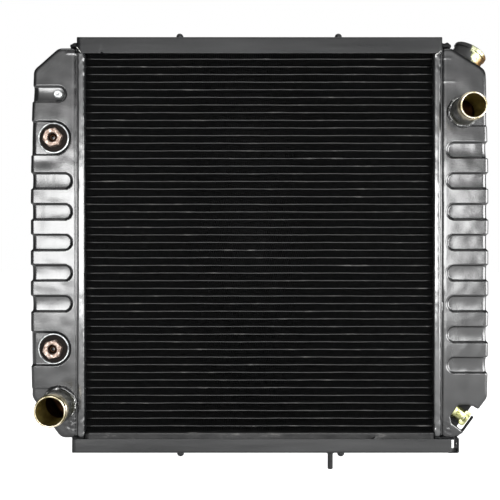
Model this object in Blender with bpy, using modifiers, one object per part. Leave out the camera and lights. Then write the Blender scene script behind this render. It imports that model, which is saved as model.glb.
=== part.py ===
"""Crossflow car radiator of soldered brass: two stamped side tanks, a tube and fin core, support channels,
hose necks, a filler neck, an oil cooler inside the left tank and a drain cock in the right one.

Units are metres, +Z is up and -Y is the front, where the hose necks point. The origin is the middle of the
lower channel's underside. Left and right are as seen from the front, so the left tank is on -X.
"""

import math

import bmesh
import bpy
import numpy as np
from mathutils import Matrix, Vector

# ---------------------------------------------------------------- driving dimensions, in metres
GAP = 0.0003                 # clearance kept between touching pieces
TANK_WALL = 0.0012
TANK_HALF_DEPTH = 0.0289     # front and back faces of both tanks
TANK_EDGE_X = 0.2638         # where a tank meets its header plate
TANK_OUTER_X = 0.3335
TANK_BOTTOM_Z = 0.0225
TANK_TOP_Z = 0.5887
TANK_CORNER = 0.007          # radius of the stamped corners
LOWER_CHAMFER = (0.0415, 0.057)          # run and rise of the sloping lower corner
UPPER_CHAMFER = {"left": (0.037, 0.032), "right": (0.051, 0.032)}
TAPER_TOP_Z = 0.420          # above this the outer face leans in
TAPER_BOTTOM_Z = 0.200       # and below this
UPPER_TAPER = 0.004
LOWER_TAPER = 0.0015

BEAD_DEPTH = 0.0035          # stiffening beads pressed into the tanks
BEAD_PITCH = 0.0446
BEAD_FIRST_Z = 0.1272
BEAD_HALF_HEIGHT = 0.0100
BEAD_END_X = 0.2700
BEADS = {"left": range(2, 7), "right": range(0, 8)}
PLUG_X, PLUG_Z = 0.2930, 0.5206
PLUG_BEAD_HALF_HEIGHT = 0.0108
PLUG_BEAD_END_X = 0.2790

COOLER_X = 0.2987            # oil cooler and its two fittings
COOLER_Z = {"lower": 0.1511, "upper": 0.4568}
PAD_RADIUS = 0.0246
PAD_DEPTH = 0.0025

HEADER_X = 0.2530            # core side of the header plates
HEADER_WALL = 0.0012
HEADER_HALF_DEPTH = 0.0286
HEADER_MARGIN = 0.0003       # header rim inside the tank's top and bottom

TUBE_COUNT = 49
TUBE_FIRST_Z = 0.0366
TUBE_PITCH = 0.0112
TUBE_THICKNESS = 0.0025
TUBE_DEPTH = 0.0370
TUBE_WALL = 0.0004
TUBE_END_X = 0.2580
CORE_HALF_DEPTH = 0.0200
CORE_BOTTOM_Z = 0.0299
CORE_TOP_Z = 0.5808
SOLDER_FILM = 0.0008

CHANNEL_WALL = 0.0015
CHANNEL_HALF_DEPTH = 0.0308
CHANNEL_HEIGHT = {"lower": 0.0203, "upper": 0.0240}
OVERALL_HEIGHT = 0.6034
UPPER_CHANNEL_HALF_LENGTH = 0.2646
LOWER_CHANNEL_ENDS = (-0.2715, 0.2780)
END_TAB_X = 0.2890
END_PLATE_WALL = 0.0012
END_PLATE_DROP = 0.0200
END_PLATE_HALF_LENGTH = 0.2525
RELIEF_WIDTH = 0.0016

NECKS = {                    # x, z, outer radius, tank side
    "outlet_neck": (-0.2910, 0.0705, 0.02225, "left"),
    "inlet_neck": (0.2960, 0.4950, 0.01905, "right"),
}
NECK_LENGTH = 0.0470
NECK_WALL = 0.0015

FILLER_HEIGHT = 0.0210
FILLER_RADIUS = 0.0255

PIN_X, PIN_LENGTH, PIN_RADIUS = 0.1035, 0.0257, 0.0038
RIVETS = {"upper_left_rivet": (-0.1160, 1), "upper_right_rivet": (0.1150, 1),
          "lower_left_rivet": (-0.1150, -1), "lower_right_rivet": (0.1185, -1)}
RIVET_Y = -0.0230
PIN_Y = -0.0200

POCKET_FLOOR_Y = 0.0020      # the drain cock's pocket, pressed in from the front
COCK_Y = -0.0145
COCK_OFFSET = -0.0085        # of the cock's axis along the chamfer, from the chamfer's middle

ROUND = 16                   # sides of a small turned piece
WIDE_ROUND = 20              # sides of a hose or filler neck


# ---------------------------------------------------------------- scene, collections and materials
def clear_scene():
    for obj in list(bpy.data.objects):
        bpy.data.objects.remove(obj, do_unlink=True)


def new_collection(name):
    collection = bpy.data.collections.new(name)
    bpy.context.scene.collection.children.link(collection)
    return collection


clear_scene()
PARTS = new_collection("car_radiator")
CUTTERS = new_collection("cutters")


def material(name, colour, roughness, metallic):
    made = bpy.data.materials.new(name)
    made.use_nodes = True
    shader = made.node_tree.nodes["Principled BSDF"]
    shader.inputs["Base Color"].default_value = (*colour, 1.0)
    shader.inputs["Roughness"].default_value = roughness
    shader.inputs["Metallic"].default_value = metallic
    return made


BLACK_PAINT = material("black_paint", (0.035, 0.037, 0.038), 0.22, 0.3)
CORE_PAINT = material("core_paint", (0.010, 0.011, 0.011), 0.55, 0.0)
SOLDER = material("solder", (0.42, 0.43, 0.43), 0.40, 0.9)
BRASS = material("brass", (0.72, 0.66, 0.42), 0.28, 1.0)
COPPER = material("copper", (0.72, 0.45, 0.32), 0.35, 1.0)
STEEL = material("steel", (0.30, 0.30, 0.30), 0.40, 1.0)
RUBBER = material("rubber", (0.02, 0.02, 0.02), 0.80, 0.0)


# ---------------------------------------------------------------- shapes
def keep(obj, surface):
    """Makes an object one of the radiator's pieces."""
    obj.data.materials.clear()
    obj.data.materials.append(surface)
    PARTS.objects.link(obj)
    return obj


def helper(obj):
    """Makes an object a cutter or a filler for a Boolean."""
    CUTTERS.objects.link(obj)
    obj.hide_render = True
    obj.display_type = "WIRE"
    return obj


def boolean(obj, other, operation="DIFFERENCE"):
    modifier = obj.modifiers.new(other.name, "BOOLEAN")
    modifier.object = other
    modifier.operation = operation
    modifier.solver = "EXACT"
    return obj


def mesh_object(name, bm):
    bmesh.ops.recalc_face_normals(bm, faces=bm.faces)
    mesh = bpy.data.meshes.new(name)
    bm.to_mesh(mesh)
    bm.free()
    return bpy.data.objects.new(name, mesh)


def box(name, low, high, corner=0.0, along=0):
    """A box between two corners. A corner radius rounds its edges that run along one axis."""
    bm = bmesh.new()
    bmesh.ops.create_cube(bm, size=1.0)
    low, high = Vector(low), Vector(high)
    bmesh.ops.transform(bm, matrix=Matrix.Diagonal((*(high - low), 1.0)), verts=bm.verts)
    bmesh.ops.translate(bm, vec=(low + high) / 2, verts=bm.verts)
    if corner:
        edges = [edge for edge in bm.edges
                 if abs(abs((edge.verts[0].co - edge.verts[1].co).normalized()[along]) - 1) < 1e-6]
        bmesh.ops.bevel(bm, geom=edges, offset=corner, segments=2, profile=0.5, affect="EDGES")
    return mesh_object(name, bm)


def flat_outline(name, outlines, low_y, high_y):
    """Closed outlines in the XZ plane, filled and extruded from low_y to high_y, as one mesh."""
    curve = bpy.data.curves.new(name, "CURVE")
    curve.dimensions = "2D"
    curve.fill_mode = "BOTH"
    curve.extrude = (high_y - low_y) / 2
    for outline in outlines:
        spline = curve.splines.new("POLY")
        spline.points.add(len(outline) - 1)
        for point, (x, z) in zip(spline.points, outline):
            point.co = (x, z, 0.0, 1.0)
        spline.use_cyclic_u = True
    upright = bpy.data.objects.new(name + "_curve", curve)
    middle = Matrix.Translation((0, (low_y + high_y) / 2, 0))
    upright.matrix_world = middle @ Matrix.Rotation(math.pi / 2, 4, "X")
    bpy.context.scene.collection.objects.link(upright)
    bpy.context.view_layer.update()
    evaluated = upright.evaluated_get(bpy.context.evaluated_depsgraph_get())
    mesh = bpy.data.meshes.new_from_object(evaluated)
    mesh.transform(upright.matrix_world)
    bm = bmesh.new()
    bm.from_mesh(mesh)
    bmesh.ops.remove_doubles(bm, verts=bm.verts, dist=1e-6)
    bpy.data.objects.remove(upright)
    return mesh_object(name, bm)


def turned(name, profile, origin, axis, sides=ROUND, turn=0.0):
    """A profile of (radius, height) points turned about an axis. It runs down the outer side and closes
    itself through the bore, or on the axis where its first and last radius are 0."""
    solid = profile[0][0] == 0
    bm = bmesh.new()
    points = [bm.verts.new((radius, 0, height)) for radius, height in profile]
    for first, second in zip(points, points[1:]):
        bm.edges.new((first, second))
    if not solid:
        bm.edges.new((points[-1], points[0]))
    mesh = bpy.data.meshes.new(name)
    bm.to_mesh(mesh)
    bm.free()
    obj = bpy.data.objects.new(name, mesh)
    screw = obj.modifiers.new("turn", "SCREW")
    screw.steps = sides
    screw.render_steps = sides
    screw.use_merge_vertices = True
    screw.merge_threshold = 1e-5
    screw.use_smooth_shade = True
    direction = Vector(axis).normalized()
    obj.matrix_world = (Matrix.Translation(origin) @ direction.to_track_quat("Z", "Y").to_matrix().to_4x4()
                        @ Matrix.Rotation(turn, 4, "Z"))
    return obj


def rod(name, origin, axis, low, high, radius, sides=ROUND, turn=0.0):
    """A plain cylinder between two distances along an axis."""
    return turned(name, [(0, high), (radius, high), (radius, low), (0, low)], origin, axis, sides, turn)


def hexagon(across_flats):
    return across_flats / math.sqrt(3)


# ---------------------------------------------------------------- tanks
def sign(side):
    return -1 if side == "left" else 1


def tank_corners(side):
    """Front outline of a tank as (distance from the centre line, height), anticlockwise."""
    lower_run, lower_rise = LOWER_CHAMFER
    upper_run, upper_drop = UPPER_CHAMFER[side]
    return [
        (TANK_EDGE_X, TANK_BOTTOM_Z),
        (TANK_OUTER_X - LOWER_TAPER - lower_run, TANK_BOTTOM_Z),
        (TANK_OUTER_X - LOWER_TAPER, TANK_BOTTOM_Z + lower_rise),
        (TANK_OUTER_X, TAPER_BOTTOM_Z),
        (TANK_OUTER_X, TAPER_TOP_Z),
        (TANK_OUTER_X - UPPER_TAPER, TANK_TOP_Z - upper_drop),
        (TANK_OUTER_X - UPPER_TAPER - upper_run, TANK_TOP_Z),
        (TANK_EDGE_X, TANK_TOP_Z),
    ]


def inset(outline, distance, last_edge):
    """A convex outline moved inwards by a distance, and its last edge, the open core side, by its own."""
    count = len(outline)
    lines = []
    for i in range(count):
        start, end = Vector(outline[i]), Vector(outline[(i + 1) % count])
        along = (end - start).normalized()
        inward = Vector((-along.y, along.x))
        lines.append((start + inward * (last_edge if i == count - 1 else distance), along))
    moved = []
    for i in range(count):
        (a, u), (b, v) = lines[i - 1], lines[i]
        span = (b - a).cross(v) / u.cross(v)
        moved.append(tuple(a + u * span))
    return moved


def mirrored(outline, side):
    return [(sign(side) * x, z) for x, z in outline]


def tank_block(name, side, distance, core_side):
    """A tank's solid block, a distance inside its outer skin, with the stamped corners rounded."""
    outline = mirrored(inset(tank_corners(side), distance, core_side), side)
    half_depth = TANK_HALF_DEPTH - distance
    block = flat_outline(name, [outline], -half_depth, half_depth)
    core_x = TANK_EDGE_X + core_side
    bm = bmesh.new()
    bm.from_mesh(block.data)
    edges = []
    for edge in bm.edges:
        ends = [vert.co for vert in edge.verts]
        if all(abs(abs(end.x) - core_x) < 1e-5 for end in ends):
            continue
        across = abs(ends[0].y - ends[1].y) > 1e-5
        beside_taper = any(min(abs(end.z - TAPER_TOP_Z), abs(end.z - TAPER_BOTTOM_Z)) < 0.004
                           for end in ends)
        if len(edge.link_faces) == 2 and edge.calc_face_angle() > 0.1 and not (across and beside_taper):
            edges.append(edge)
    bmesh.ops.bevel(bm, geom=edges, offset=TANK_CORNER - distance, segments=2, profile=0.5, affect="EDGES")
    bm.to_mesh(block.data)
    bm.free()
    return helper(block)


def slot_outline(side, centre_x, z, half_height, segments=4):
    """A slot that runs in from beyond the tank's outer face and ends in a half circle about centre_x."""
    outer = TANK_OUTER_X + 0.010
    arc = [(centre_x + half_height * math.cos(angle), z + half_height * math.sin(angle))
           for angle in np.linspace(-math.pi / 2, -3 * math.pi / 2, segments + 1)]
    return mirrored([(outer, z - half_height), *arc, (outer, z + half_height)], side)


def bead_cutter(name, side, grow):
    """All the beads of one tank, through its whole depth."""
    outlines = []
    for i in BEADS[side]:
        z = BEAD_FIRST_Z + i * BEAD_PITCH
        outlines.append(slot_outline(side, BEAD_END_X + BEAD_HALF_HEIGHT, z, BEAD_HALF_HEIGHT + grow))
    if side == "left":
        half = PLUG_BEAD_HALF_HEIGHT + grow
        outlines.append(slot_outline(side, PLUG_BEAD_END_X + PLUG_BEAD_HALF_HEIGHT, PLUG_Z, half))
    return helper(flat_outline(name, outlines, -0.05, 0.05))


def pad_cutter(name, grow):
    """The flat pads that the oil cooler's fittings sit on, in the left tank's front face only."""
    outlines = [slot_outline("left", COOLER_X, z, PAD_RADIUS + grow, 8) for z in COOLER_Z.values()]
    return helper(flat_outline(name, outlines, -0.05, -TANK_HALF_DEPTH + PAD_DEPTH + grow))


def chamfer_frame():
    """Middle of the right tank's lower chamfer, its outward direction and the direction up along it."""
    run, rise = LOWER_CHAMFER
    middle = Vector((TANK_OUTER_X - LOWER_TAPER - run / 2, 0, TANK_BOTTOM_Z + rise / 2))
    up = Vector((run, 0, rise)).normalized()
    out = Vector((rise, 0, -run)).normalized()
    return middle, out, up


def pocket_cutter(name, grow):
    """The pocket in the right tank that the drain cock stands in, open to the front and the chamfer."""
    middle, out, up = chamfer_frame()
    low, high, deep, mouth = -0.0254 - grow, 0.0130 + grow, -0.0285 - grow, 0.020
    corners = [(mouth, low), (-0.0210 - grow / 2, low), (deep, -0.0185 - grow / 2),
               (deep, 0.0015 + grow / 2), (-0.019 - grow / 2, 0.009 + grow), (-0.009, high), (mouth, high)]
    points = [middle + out * along + up * across for along, across in corners]
    outline = [(point.x, point.z) for point in points]
    return helper(flat_outline(name, [outline], -0.05, POCKET_FLOOR_Y + grow))


def tongue(name, side, shrink, low, high):
    """The neck of a tank's open edge that plugs into its header plate."""
    near = HEADER_HALF_DEPTH - HEADER_WALL - GAP - shrink
    bottom = TANK_BOTTOM_Z + HEADER_MARGIN + HEADER_WALL + GAP + shrink
    top = TANK_TOP_Z - HEADER_MARGIN - HEADER_WALL - GAP - shrink
    x = sorted((sign(side) * low, sign(side) * high))
    corner = TANK_CORNER - 0.002 - shrink
    return helper(box(name, (x[0], -near, bottom), (x[1], near, top), corner, along=0))


def tank(side):
    """One stamped tank: an outer form, less the same form a wall's thickness further in."""
    name = side + "_tank"
    forms = []
    for label, wall in (("outside", 0.0), ("inside", TANK_WALL)):
        form = tank_block(f"{name}_{label}", side, wall, wall)
        boolean(form, bead_cutter(f"{name}_{label}_beads", side, wall))
        if side == "left":
            boolean(form, pad_cutter(f"{name}_{label}_pads", wall))
        boolean(form, tank_block(f"{name}_{label}_floor", side, BEAD_DEPTH + wall, 0.001 + wall), "UNION")
        if side == "right":
            boolean(form, pocket_cutter(f"{name}_{label}_pocket", wall))
        reach = 0.2565 if label == "outside" else 0.2500
        boolean(form, tongue(f"{name}_{label}_tongue", side, wall, reach, TANK_EDGE_X + 0.004), "UNION")
        forms.append(form)
    outside, inside = forms
    shell = outside.copy()
    shell.data = outside.data.copy()
    shell.name = name
    shell.hide_render = False
    shell.display_type = "TEXTURED"
    boolean(shell, inside)
    for cutter in tank_holes(side):
        boolean(shell, cutter)
    return keep(shell, BLACK_PAINT)


def tank_holes(side):
    """The holes for what is soldered or screwed through the tank's skin."""
    holes = []
    for name, (x, z, radius, of_side) in NECKS.items():
        if of_side == side:
            holes.append(rod(name + "_hole", (x, 0, z), (0, -1, 0), 0.020, 0.060, radius + GAP, WIDE_ROUND))
    if side == "left":
        for place, z in COOLER_Z.items():
            holes.append(rod(place + "_fitting_hole", (-COOLER_X, 0, z), (0, -1, 0), 0.020, 0.060,
                             0.0090 + GAP, turn=math.radians(7)))
        holes.append(rod("plug_hole", (-PLUG_X, 0, PLUG_Z), (0, -1, 0), 0.018, 0.060, 0.0045 + GAP))
    else:
        origin, axis = filler_frame()
        holes.append(rod("filler_hole", origin, axis, -0.012, 0.020, 0.0200, WIDE_ROUND))
        holes.append(rod("cock_hole", *cock_frame(), -0.034, -0.022, 0.0060 + GAP))
    return [helper(hole) for hole in holes]


# ---------------------------------------------------------------- core
def header_plate(side):
    """A tray with a slot for every tube. Its rim takes the tank's open edge."""
    name = side + "_header_plate"
    bottom, top = TANK_BOTTOM_Z + HEADER_MARGIN, TANK_TOP_Z - HEADER_MARGIN
    x = sorted((sign(side) * HEADER_X, sign(side) * (TANK_EDGE_X - GAP)))
    plate = box(name, (x[0], -HEADER_HALF_DEPTH, bottom), (x[1], HEADER_HALF_DEPTH, top), 0.0058, along=0)
    inner = HEADER_HALF_DEPTH - HEADER_WALL
    x = sorted((sign(side) * (HEADER_X + HEADER_WALL), sign(side) * (TANK_EDGE_X + 0.005)))
    hollow = box(name + "_hollow", (x[0], -inner, bottom + HEADER_WALL), (x[1], inner, top - HEADER_WALL),
                 0.0046, along=0)
    boolean(plate, helper(hollow))
    boolean(plate, tube_stack(name + "_slots", GAP / 2, TUBE_END_X + 0.002))
    return keep(plate, SOLDER)


def tube_heights():
    return [TUBE_FIRST_Z + i * TUBE_PITCH for i in range(TUBE_COUNT)]


def tube_stack(name, grow, reach, front=None):
    """One flat block for each tube, grown or shrunk all round."""
    bm = bmesh.new()
    half_depth = TUBE_DEPTH / 2 + grow
    near = -half_depth if front is None else front
    for z in tube_heights():
        made = bmesh.ops.create_cube(bm, size=1.0)["verts"]
        size = (2 * reach, half_depth - near, TUBE_THICKNESS + 2 * grow)
        bmesh.ops.transform(bm, matrix=Matrix.Diagonal((*size, 1.0)), verts=made)
        bmesh.ops.translate(bm, vec=(0, (half_depth + near) / 2, z), verts=made)
    return helper(mesh_object(name, bm))


def tube_bank():
    """The flat water tubes, joined by the film of solder on the tank side of the left header plate."""
    film_x = HEADER_X + HEADER_WALL + GAP
    margin_y, margin_z = 0.003, 0.006
    bank = tube_stack("tube_bank", 0.0, TUBE_END_X)
    film = box("solder_film", (-film_x - SOLDER_FILM, -TUBE_DEPTH / 2 - margin_y, TUBE_FIRST_Z - margin_z),
               (-film_x, TUBE_DEPTH / 2 + margin_y, tube_heights()[-1] + margin_z))
    boolean(bank, helper(film), "UNION")
    boolean(bank, tube_stack("tube_bores", -TUBE_WALL, TUBE_END_X + 0.002))
    CUTTERS.objects.unlink(bank)
    bank.hide_render = False
    bank.display_type = "TEXTURED"
    return keep(bank, CORE_PAINT)


def fin_pack():
    """The corrugated fin strips as one block, open at the front around every tube."""
    reach = HEADER_X - 0.0005
    block = box("fin_pack", (-reach, -CORE_HALF_DEPTH, CORE_BOTTOM_Z), (reach, CORE_HALF_DEPTH, CORE_TOP_Z))
    boolean(block, tube_stack("fin_slots", GAP, reach + 0.002, front=-CORE_HALF_DEPTH - 0.005))
    return keep(block, CORE_PAINT)


def trough(name, ends, web, flange, half_depth, wall, up):
    """A U section along X: a web at one height and two flanges that reach another."""
    low, high = sorted((web, flange))
    section = box(name, (ends[0], -half_depth, low), (ends[1], half_depth, high))
    hollow_low, hollow_high = (low + wall, high + 0.01) if up else (low - 0.01, high - wall)
    hollow = box(name + "_hollow", (ends[0] - 0.01, -half_depth + wall, hollow_low),
                 (ends[1] + 0.01, half_depth - wall, hollow_high))
    return boolean(section, helper(hollow))


def relief_cut(name, x, z, lean):
    """A slanting saw cut through a flange."""
    blade = box(name, (-RELIEF_WIDTH / 2, -0.06, -0.009), (RELIEF_WIDTH / 2, 0.06, 0.009))
    blade.matrix_world = Matrix.Translation((x, 0, z)) @ Matrix.Rotation(lean, 4, "Y")
    return helper(blade)


def end_plates():
    """The troughs that close the core above and below, nested in the channels."""
    ends = (-END_PLATE_HALF_LENGTH, END_PLATE_HALF_LENGTH)
    half_depth = CHANNEL_HALF_DEPTH - CHANNEL_WALL - GAP
    top = CORE_BOTTOM_Z - GAP
    lower = trough("lower_end_plate", ends, top, top - END_PLATE_DROP, half_depth, END_PLATE_WALL, up=False)
    boolean(lower, relief_cut("lower_relief", 0.160, top - 0.012, math.radians(55)))
    bottom = CORE_TOP_Z + GAP
    upper = trough("upper_end_plate", ends, bottom, bottom + END_PLATE_DROP - 0.003, half_depth, END_PLATE_WALL,
                   up=True)
    boolean(upper, relief_cut("upper_relief", -0.160, bottom + 0.012, math.radians(-55)))
    return keep(lower, BLACK_PAINT), keep(upper, BLACK_PAINT)


def rivet_hole(name):
    x, up = RIVETS[name]
    z = OVERALL_HEIGHT if up > 0 else 0.0
    return helper(rod(name + "_hole", (x, RIVET_Y, z), (0, 0, 1), -0.006, 0.006, 0.0030 + GAP, 12))


def upper_channel():
    ends = (-UPPER_CHANNEL_HALF_LENGTH, UPPER_CHANNEL_HALF_LENGTH)
    channel = trough("upper_channel", ends, OVERALL_HEIGHT, OVERALL_HEIGHT - CHANNEL_HEIGHT["upper"],
                     CHANNEL_HALF_DEPTH, CHANNEL_WALL, up=False)
    edge = OVERALL_HEIGHT - CHANNEL_HEIGHT["upper"]
    notch = box("upper_notch", (-0.2300, -0.06, edge - 0.01), (-0.2270, -0.028, edge + 0.0045))
    boolean(channel, helper(notch))
    for name in ("upper_left_rivet", "upper_right_rivet"):
        boolean(channel, rivet_hole(name))
    return keep(channel, BLACK_PAINT)


def lower_channel():
    """The lower channel. Its web runs on past the right end and folds up into a drilled tab."""
    channel = trough("lower_channel", LOWER_CHANNEL_ENDS, 0.0, CHANNEL_HEIGHT["lower"], CHANNEL_HALF_DEPTH,
                     CHANNEL_WALL, up=True)
    right = LOWER_CHANNEL_ENDS[1]
    tab_back = -0.0090
    foot = box("tab_foot", (right - 0.004, -CHANNEL_HALF_DEPTH, 0.0), (END_TAB_X, tab_back, CHANNEL_WALL))
    boolean(channel, helper(foot), "UNION")
    tab = box("tab", (END_TAB_X - CHANNEL_WALL, -CHANNEL_HALF_DEPTH, 0.0), (END_TAB_X, tab_back, 0.0215))
    boolean(channel, helper(tab), "UNION")
    hole = rod("tab_hole", (END_TAB_X, -0.0200, 0.0115), (1, 0, 0), -0.01, 0.01, 0.0030, 12)
    boolean(channel, helper(hole))
    for name in ("lower_left_rivet", "lower_right_rivet"):
        boolean(channel, rivet_hole(name))
    pin_hole = rod("pin_hole", (PIN_X, PIN_Y, 0), (0, 0, 1), -0.006, 0.006, PIN_RADIUS + GAP, 12)
    boolean(channel, helper(pin_hole))
    return keep(channel, BLACK_PAINT)


# ---------------------------------------------------------------- fasteners and gussets
def rivet(name):
    """A round-headed rivet through a channel's web, its head outside and its formed tail inside."""
    x, up = RIVETS[name]
    z = OVERALL_HEIGHT if up > 0 else 0.0
    head, height = 0.0052, 0.0065
    dome = [(head * math.cos(angle), 0.0015 + (height - 0.0015) * math.sin(angle))
            for angle in np.linspace(math.pi / 2, 0, 5)]
    dome[0] = (0, height)
    web = CHANNEL_WALL + GAP
    profile = [*dome, (head, GAP), (0.0030, GAP), (0.0030, -web), (0.0046, -web), (0.0046, -web - 0.0016),
               (0, -web - 0.0016)]
    return keep(turned(name, profile, (x, RIVET_Y, z), (0, 0, up), 12), BLACK_PAINT)


def locating_pin():
    """The pin under the lower channel that drops into the car's cross-member."""
    web = CHANNEL_WALL + GAP
    profile = [(0, PIN_LENGTH), (PIN_RADIUS - 0.001, PIN_LENGTH), (PIN_RADIUS, PIN_LENGTH - 0.001),
               (PIN_RADIUS, 0.0038), (0.0066, GAP), (PIN_RADIUS, GAP), (PIN_RADIUS, -web), (0.0055, -web),
               (0.0055, -web - 0.002), (0, -web - 0.002)]
    return keep(turned("locating_pin", profile, (PIN_X, PIN_Y, 0), (0, 0, -1), 12), BLACK_PAINT)


def gusset(side):
    """The small sloping brace between the end of the upper channel and the tank's top."""
    name = f"upper_{side}_gusset"
    low = TANK_TOP_Z + GAP
    near, far = UPPER_CHANNEL_HALF_LENGTH + GAP, UPPER_CHANNEL_HALF_LENGTH + 0.0105
    outline = mirrored([(near, low), (far, low), (far, low + 0.0012), (near + 0.002, low + 0.0062),
                        (near, low + 0.0062)], side)
    return keep(flat_outline(name, [outline], -0.0270, 0.0270), BLACK_PAINT)


# ---------------------------------------------------------------- necks
def hose_neck(name):
    """A spun hose neck: a soldered foot, a straight tube and a raised bead that holds the hose."""
    x, z, radius, _ = NECKS[name]
    bore = radius - NECK_WALL
    foot = TANK_HALF_DEPTH + GAP
    mouth = TANK_HALF_DEPTH + NECK_LENGTH
    profile = [(bore, mouth), (radius, mouth), (radius, mouth - 0.0040), (radius + 0.0009, mouth - 0.0055),
               (radius, mouth - 0.0070), (radius, foot + 0.0030), (radius + 0.0026, foot + 0.0012),
               (radius + 0.0026, foot), (radius, foot), (radius, TANK_HALF_DEPTH - 0.0060),
               (bore, TANK_HALF_DEPTH - 0.0060)]
    return keep(turned(name, profile, (x, 0, z), (0, -1, 0), WIDE_ROUND), BRASS)


def filler_frame():
    """Middle of the right tank's upper chamfer and its outward direction."""
    run, drop = UPPER_CHAMFER["right"]
    middle = Vector((TANK_OUTER_X - UPPER_TAPER - run / 2, 0, TANK_TOP_Z - drop / 2))
    return middle, Vector((drop, 0, run)).normalized()


def filler_neck():
    """The filler neck: a foot, a waist, the rolled rim that a cap turns on and the cap's inner seat."""
    origin, axis = filler_frame()
    top, rim = FILLER_HEIGHT, FILLER_RADIUS
    profile = [(0.0210, top), (rim - 0.0010, top), (rim, top - 0.0012), (rim, top - 0.0058),
               (0.0238, top - 0.0062), (0.0238, 0.0024), (0.0252, GAP), (0.0194, GAP), (0.0194, -0.0040),
               (0.0150, -0.0040), (0.0150, -0.0028), (0.0180, -0.0028), (0.0180, 0.0030), (0.0155, 0.0030),
               (0.0155, 0.0042), (0.0210, 0.0042)]
    neck = turned("filler_neck", profile, origin, axis, WIDE_ROUND)
    port = rod("overflow_port", origin + axis * 0.0100, (0, 1, 0), 0.015, 0.032, 0.0034 + GAP, 12)
    boolean(neck, helper(port))
    tube = turned("overflow_tube", [(0.0024, 0.0460), (0.0034, 0.0460), (0.0034, 0.0435), (0.0040, 0.0425),
                                    (0.0034, 0.0410), (0.0034, 0.0222), (0.0024, 0.0222)],
                  origin + axis * 0.0100, (0, 1, 0), 12)
    return keep(neck, BRASS), keep(tube, BRASS)


# ---------------------------------------------------------------- oil cooler
def cooler_fitting(place):
    """A hexagonal port that screws through the tank into the oil cooler, its washer and its flare seat."""
    z = COOLER_Z[place]
    origin, forward = (-COOLER_X, 0, z), (0, -1, 0)
    floor = TANK_HALF_DEPTH - PAD_DEPTH
    washer_top = floor + GAP + 0.0030
    head, shank, port, bore = 0.0254, 0.0090, 0.0075, 0.0045
    face = washer_top + GAP + 0.0085
    port_floor = face - 0.0110
    body = rod(f"{place}_cooler_fitting", origin, forward, washer_top + GAP, face, hexagon(head), 6, math.pi / 6)
    boolean(body, helper(rod(f"{place}_shank", origin, forward, 0.0168, face - 0.003, shank)), "UNION")
    boolean(body, helper(rod(f"{place}_port", origin, forward, port_floor, face + 0.002, port)))
    boolean(body, helper(rod(f"{place}_bore", origin, forward, 0.015, port_floor + 0.002, bore, 12)))
    washer = turned(f"{place}_cooler_washer",
                    [(0.0093, washer_top), (0.0185, washer_top), (0.0205, washer_top - 0.0015),
                     (0.0205, floor + GAP), (0.0093, floor + GAP)], origin, forward, WIDE_ROUND)
    seat = turned(f"{place}_flare_seat",
                  [(0.0030, face - 0.0060), (0.0040, face - 0.0060), (0.0062, face - 0.0085),
                   (0.0062, port_floor + GAP), (0.0030, port_floor + GAP)], origin, forward, 12)
    return keep(body, BRASS), keep(washer, BLACK_PAINT), keep(seat, COPPER)


def oil_cooler():
    """The cooler inside the left tank: an outer tube with necked ends, an inner tube and the wavy
    turbulator that fills the ring between them."""
    low, high = COOLER_Z["lower"] - 0.022, COOLER_Z["upper"] + 0.022
    outer, inner, wall = 0.0160, 0.0105, 0.0010
    origin, up = (-COOLER_X, 0, 0), (0, 0, 1)
    shell = turned("cooler_outer_tube",
                   [(inner + GAP, high), (inner + GAP + wall, high), (outer, high - 0.008), (outer, low + 0.008),
                    (inner + GAP + wall, low), (inner + GAP, low), (inner + GAP, low + 0.001),
                    (outer - wall, low + 0.009), (outer - wall, high - 0.009), (inner + GAP, high - 0.001)],
                   origin, up, ROUND)
    for place, z in COOLER_Z.items():
        hole = rod(f"{place}_cooler_port", (-COOLER_X, 0, z), (0, -1, 0), 0.012, 0.020, 0.0052, 12)
        boolean(shell, helper(hole))
    core = turned("cooler_inner_tube",
                  [(inner - wall, high + 0.004), (inner, high + 0.004), (inner, low - 0.004),
                   (inner - wall, low - 0.004)], origin, up, ROUND)
    return keep(shell, COPPER), keep(core, COPPER), turbulator(low + 0.030, high - 0.030, 0.0109, 0.0144)


def turbulator(low, high, inner, outer, lobes=9):
    """A thin strip folded to and fro around the ring, the same all along its length."""
    thickness = 0.0005
    count = 4 * lobes
    rings = []
    for offset in (-thickness / 2, thickness / 2):
        middle, swing = (inner + outer) / 2, (outer - inner) / 2 - thickness
        rings.append([(middle + offset + swing * math.cos(lobes * angle),  angle)
                      for angle in np.linspace(0, 2 * math.pi, count, endpoint=False)])
    bm = bmesh.new()
    loops = []
    for ring in rings:
        for z in (low, high):
            loops.append([bm.verts.new((-COOLER_X + radius * math.cos(angle), radius * math.sin(angle), z))
                          for radius, angle in ring])
    inner_low, inner_high, outer_low, outer_high = loops
    for first, second in ((inner_low, inner_high), (inner_high, outer_high), (outer_high, outer_low),
                          (outer_low, inner_low)):
        for i in range(count):
            j = (i + 1) % count
            bm.faces.new((first[i], first[j], second[j], second[i]))
    return keep(mesh_object("cooler_turbulator", bm), COPPER)


def tank_plug():
    """The round plug in the left tank's top bead."""
    floor = TANK_HALF_DEPTH - BEAD_DEPTH
    profile = [(0, floor + 0.0026), (0.0014, floor + 0.0026), (0.0020, floor + 0.0036), (0.0050, floor + 0.0036),
               (0.0062, floor + 0.0026), (0.0062, floor + GAP), (0.0045, floor + GAP), (0.0045, floor - 0.0050),
               (0, floor - 0.0050)]
    return keep(turned("tank_plug", profile, (-PLUG_X, 0, PLUG_Z), (0, -1, 0), 12), STEEL)


# ---------------------------------------------------------------- drain cock
def cock_frame():
    """A point on the drain cock's axis in the chamfer's plane, and the way the screw backs out."""
    middle, out, up = chamfer_frame()
    return middle + up * COCK_OFFSET + Vector((0, COCK_Y, 0)), out


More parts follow.
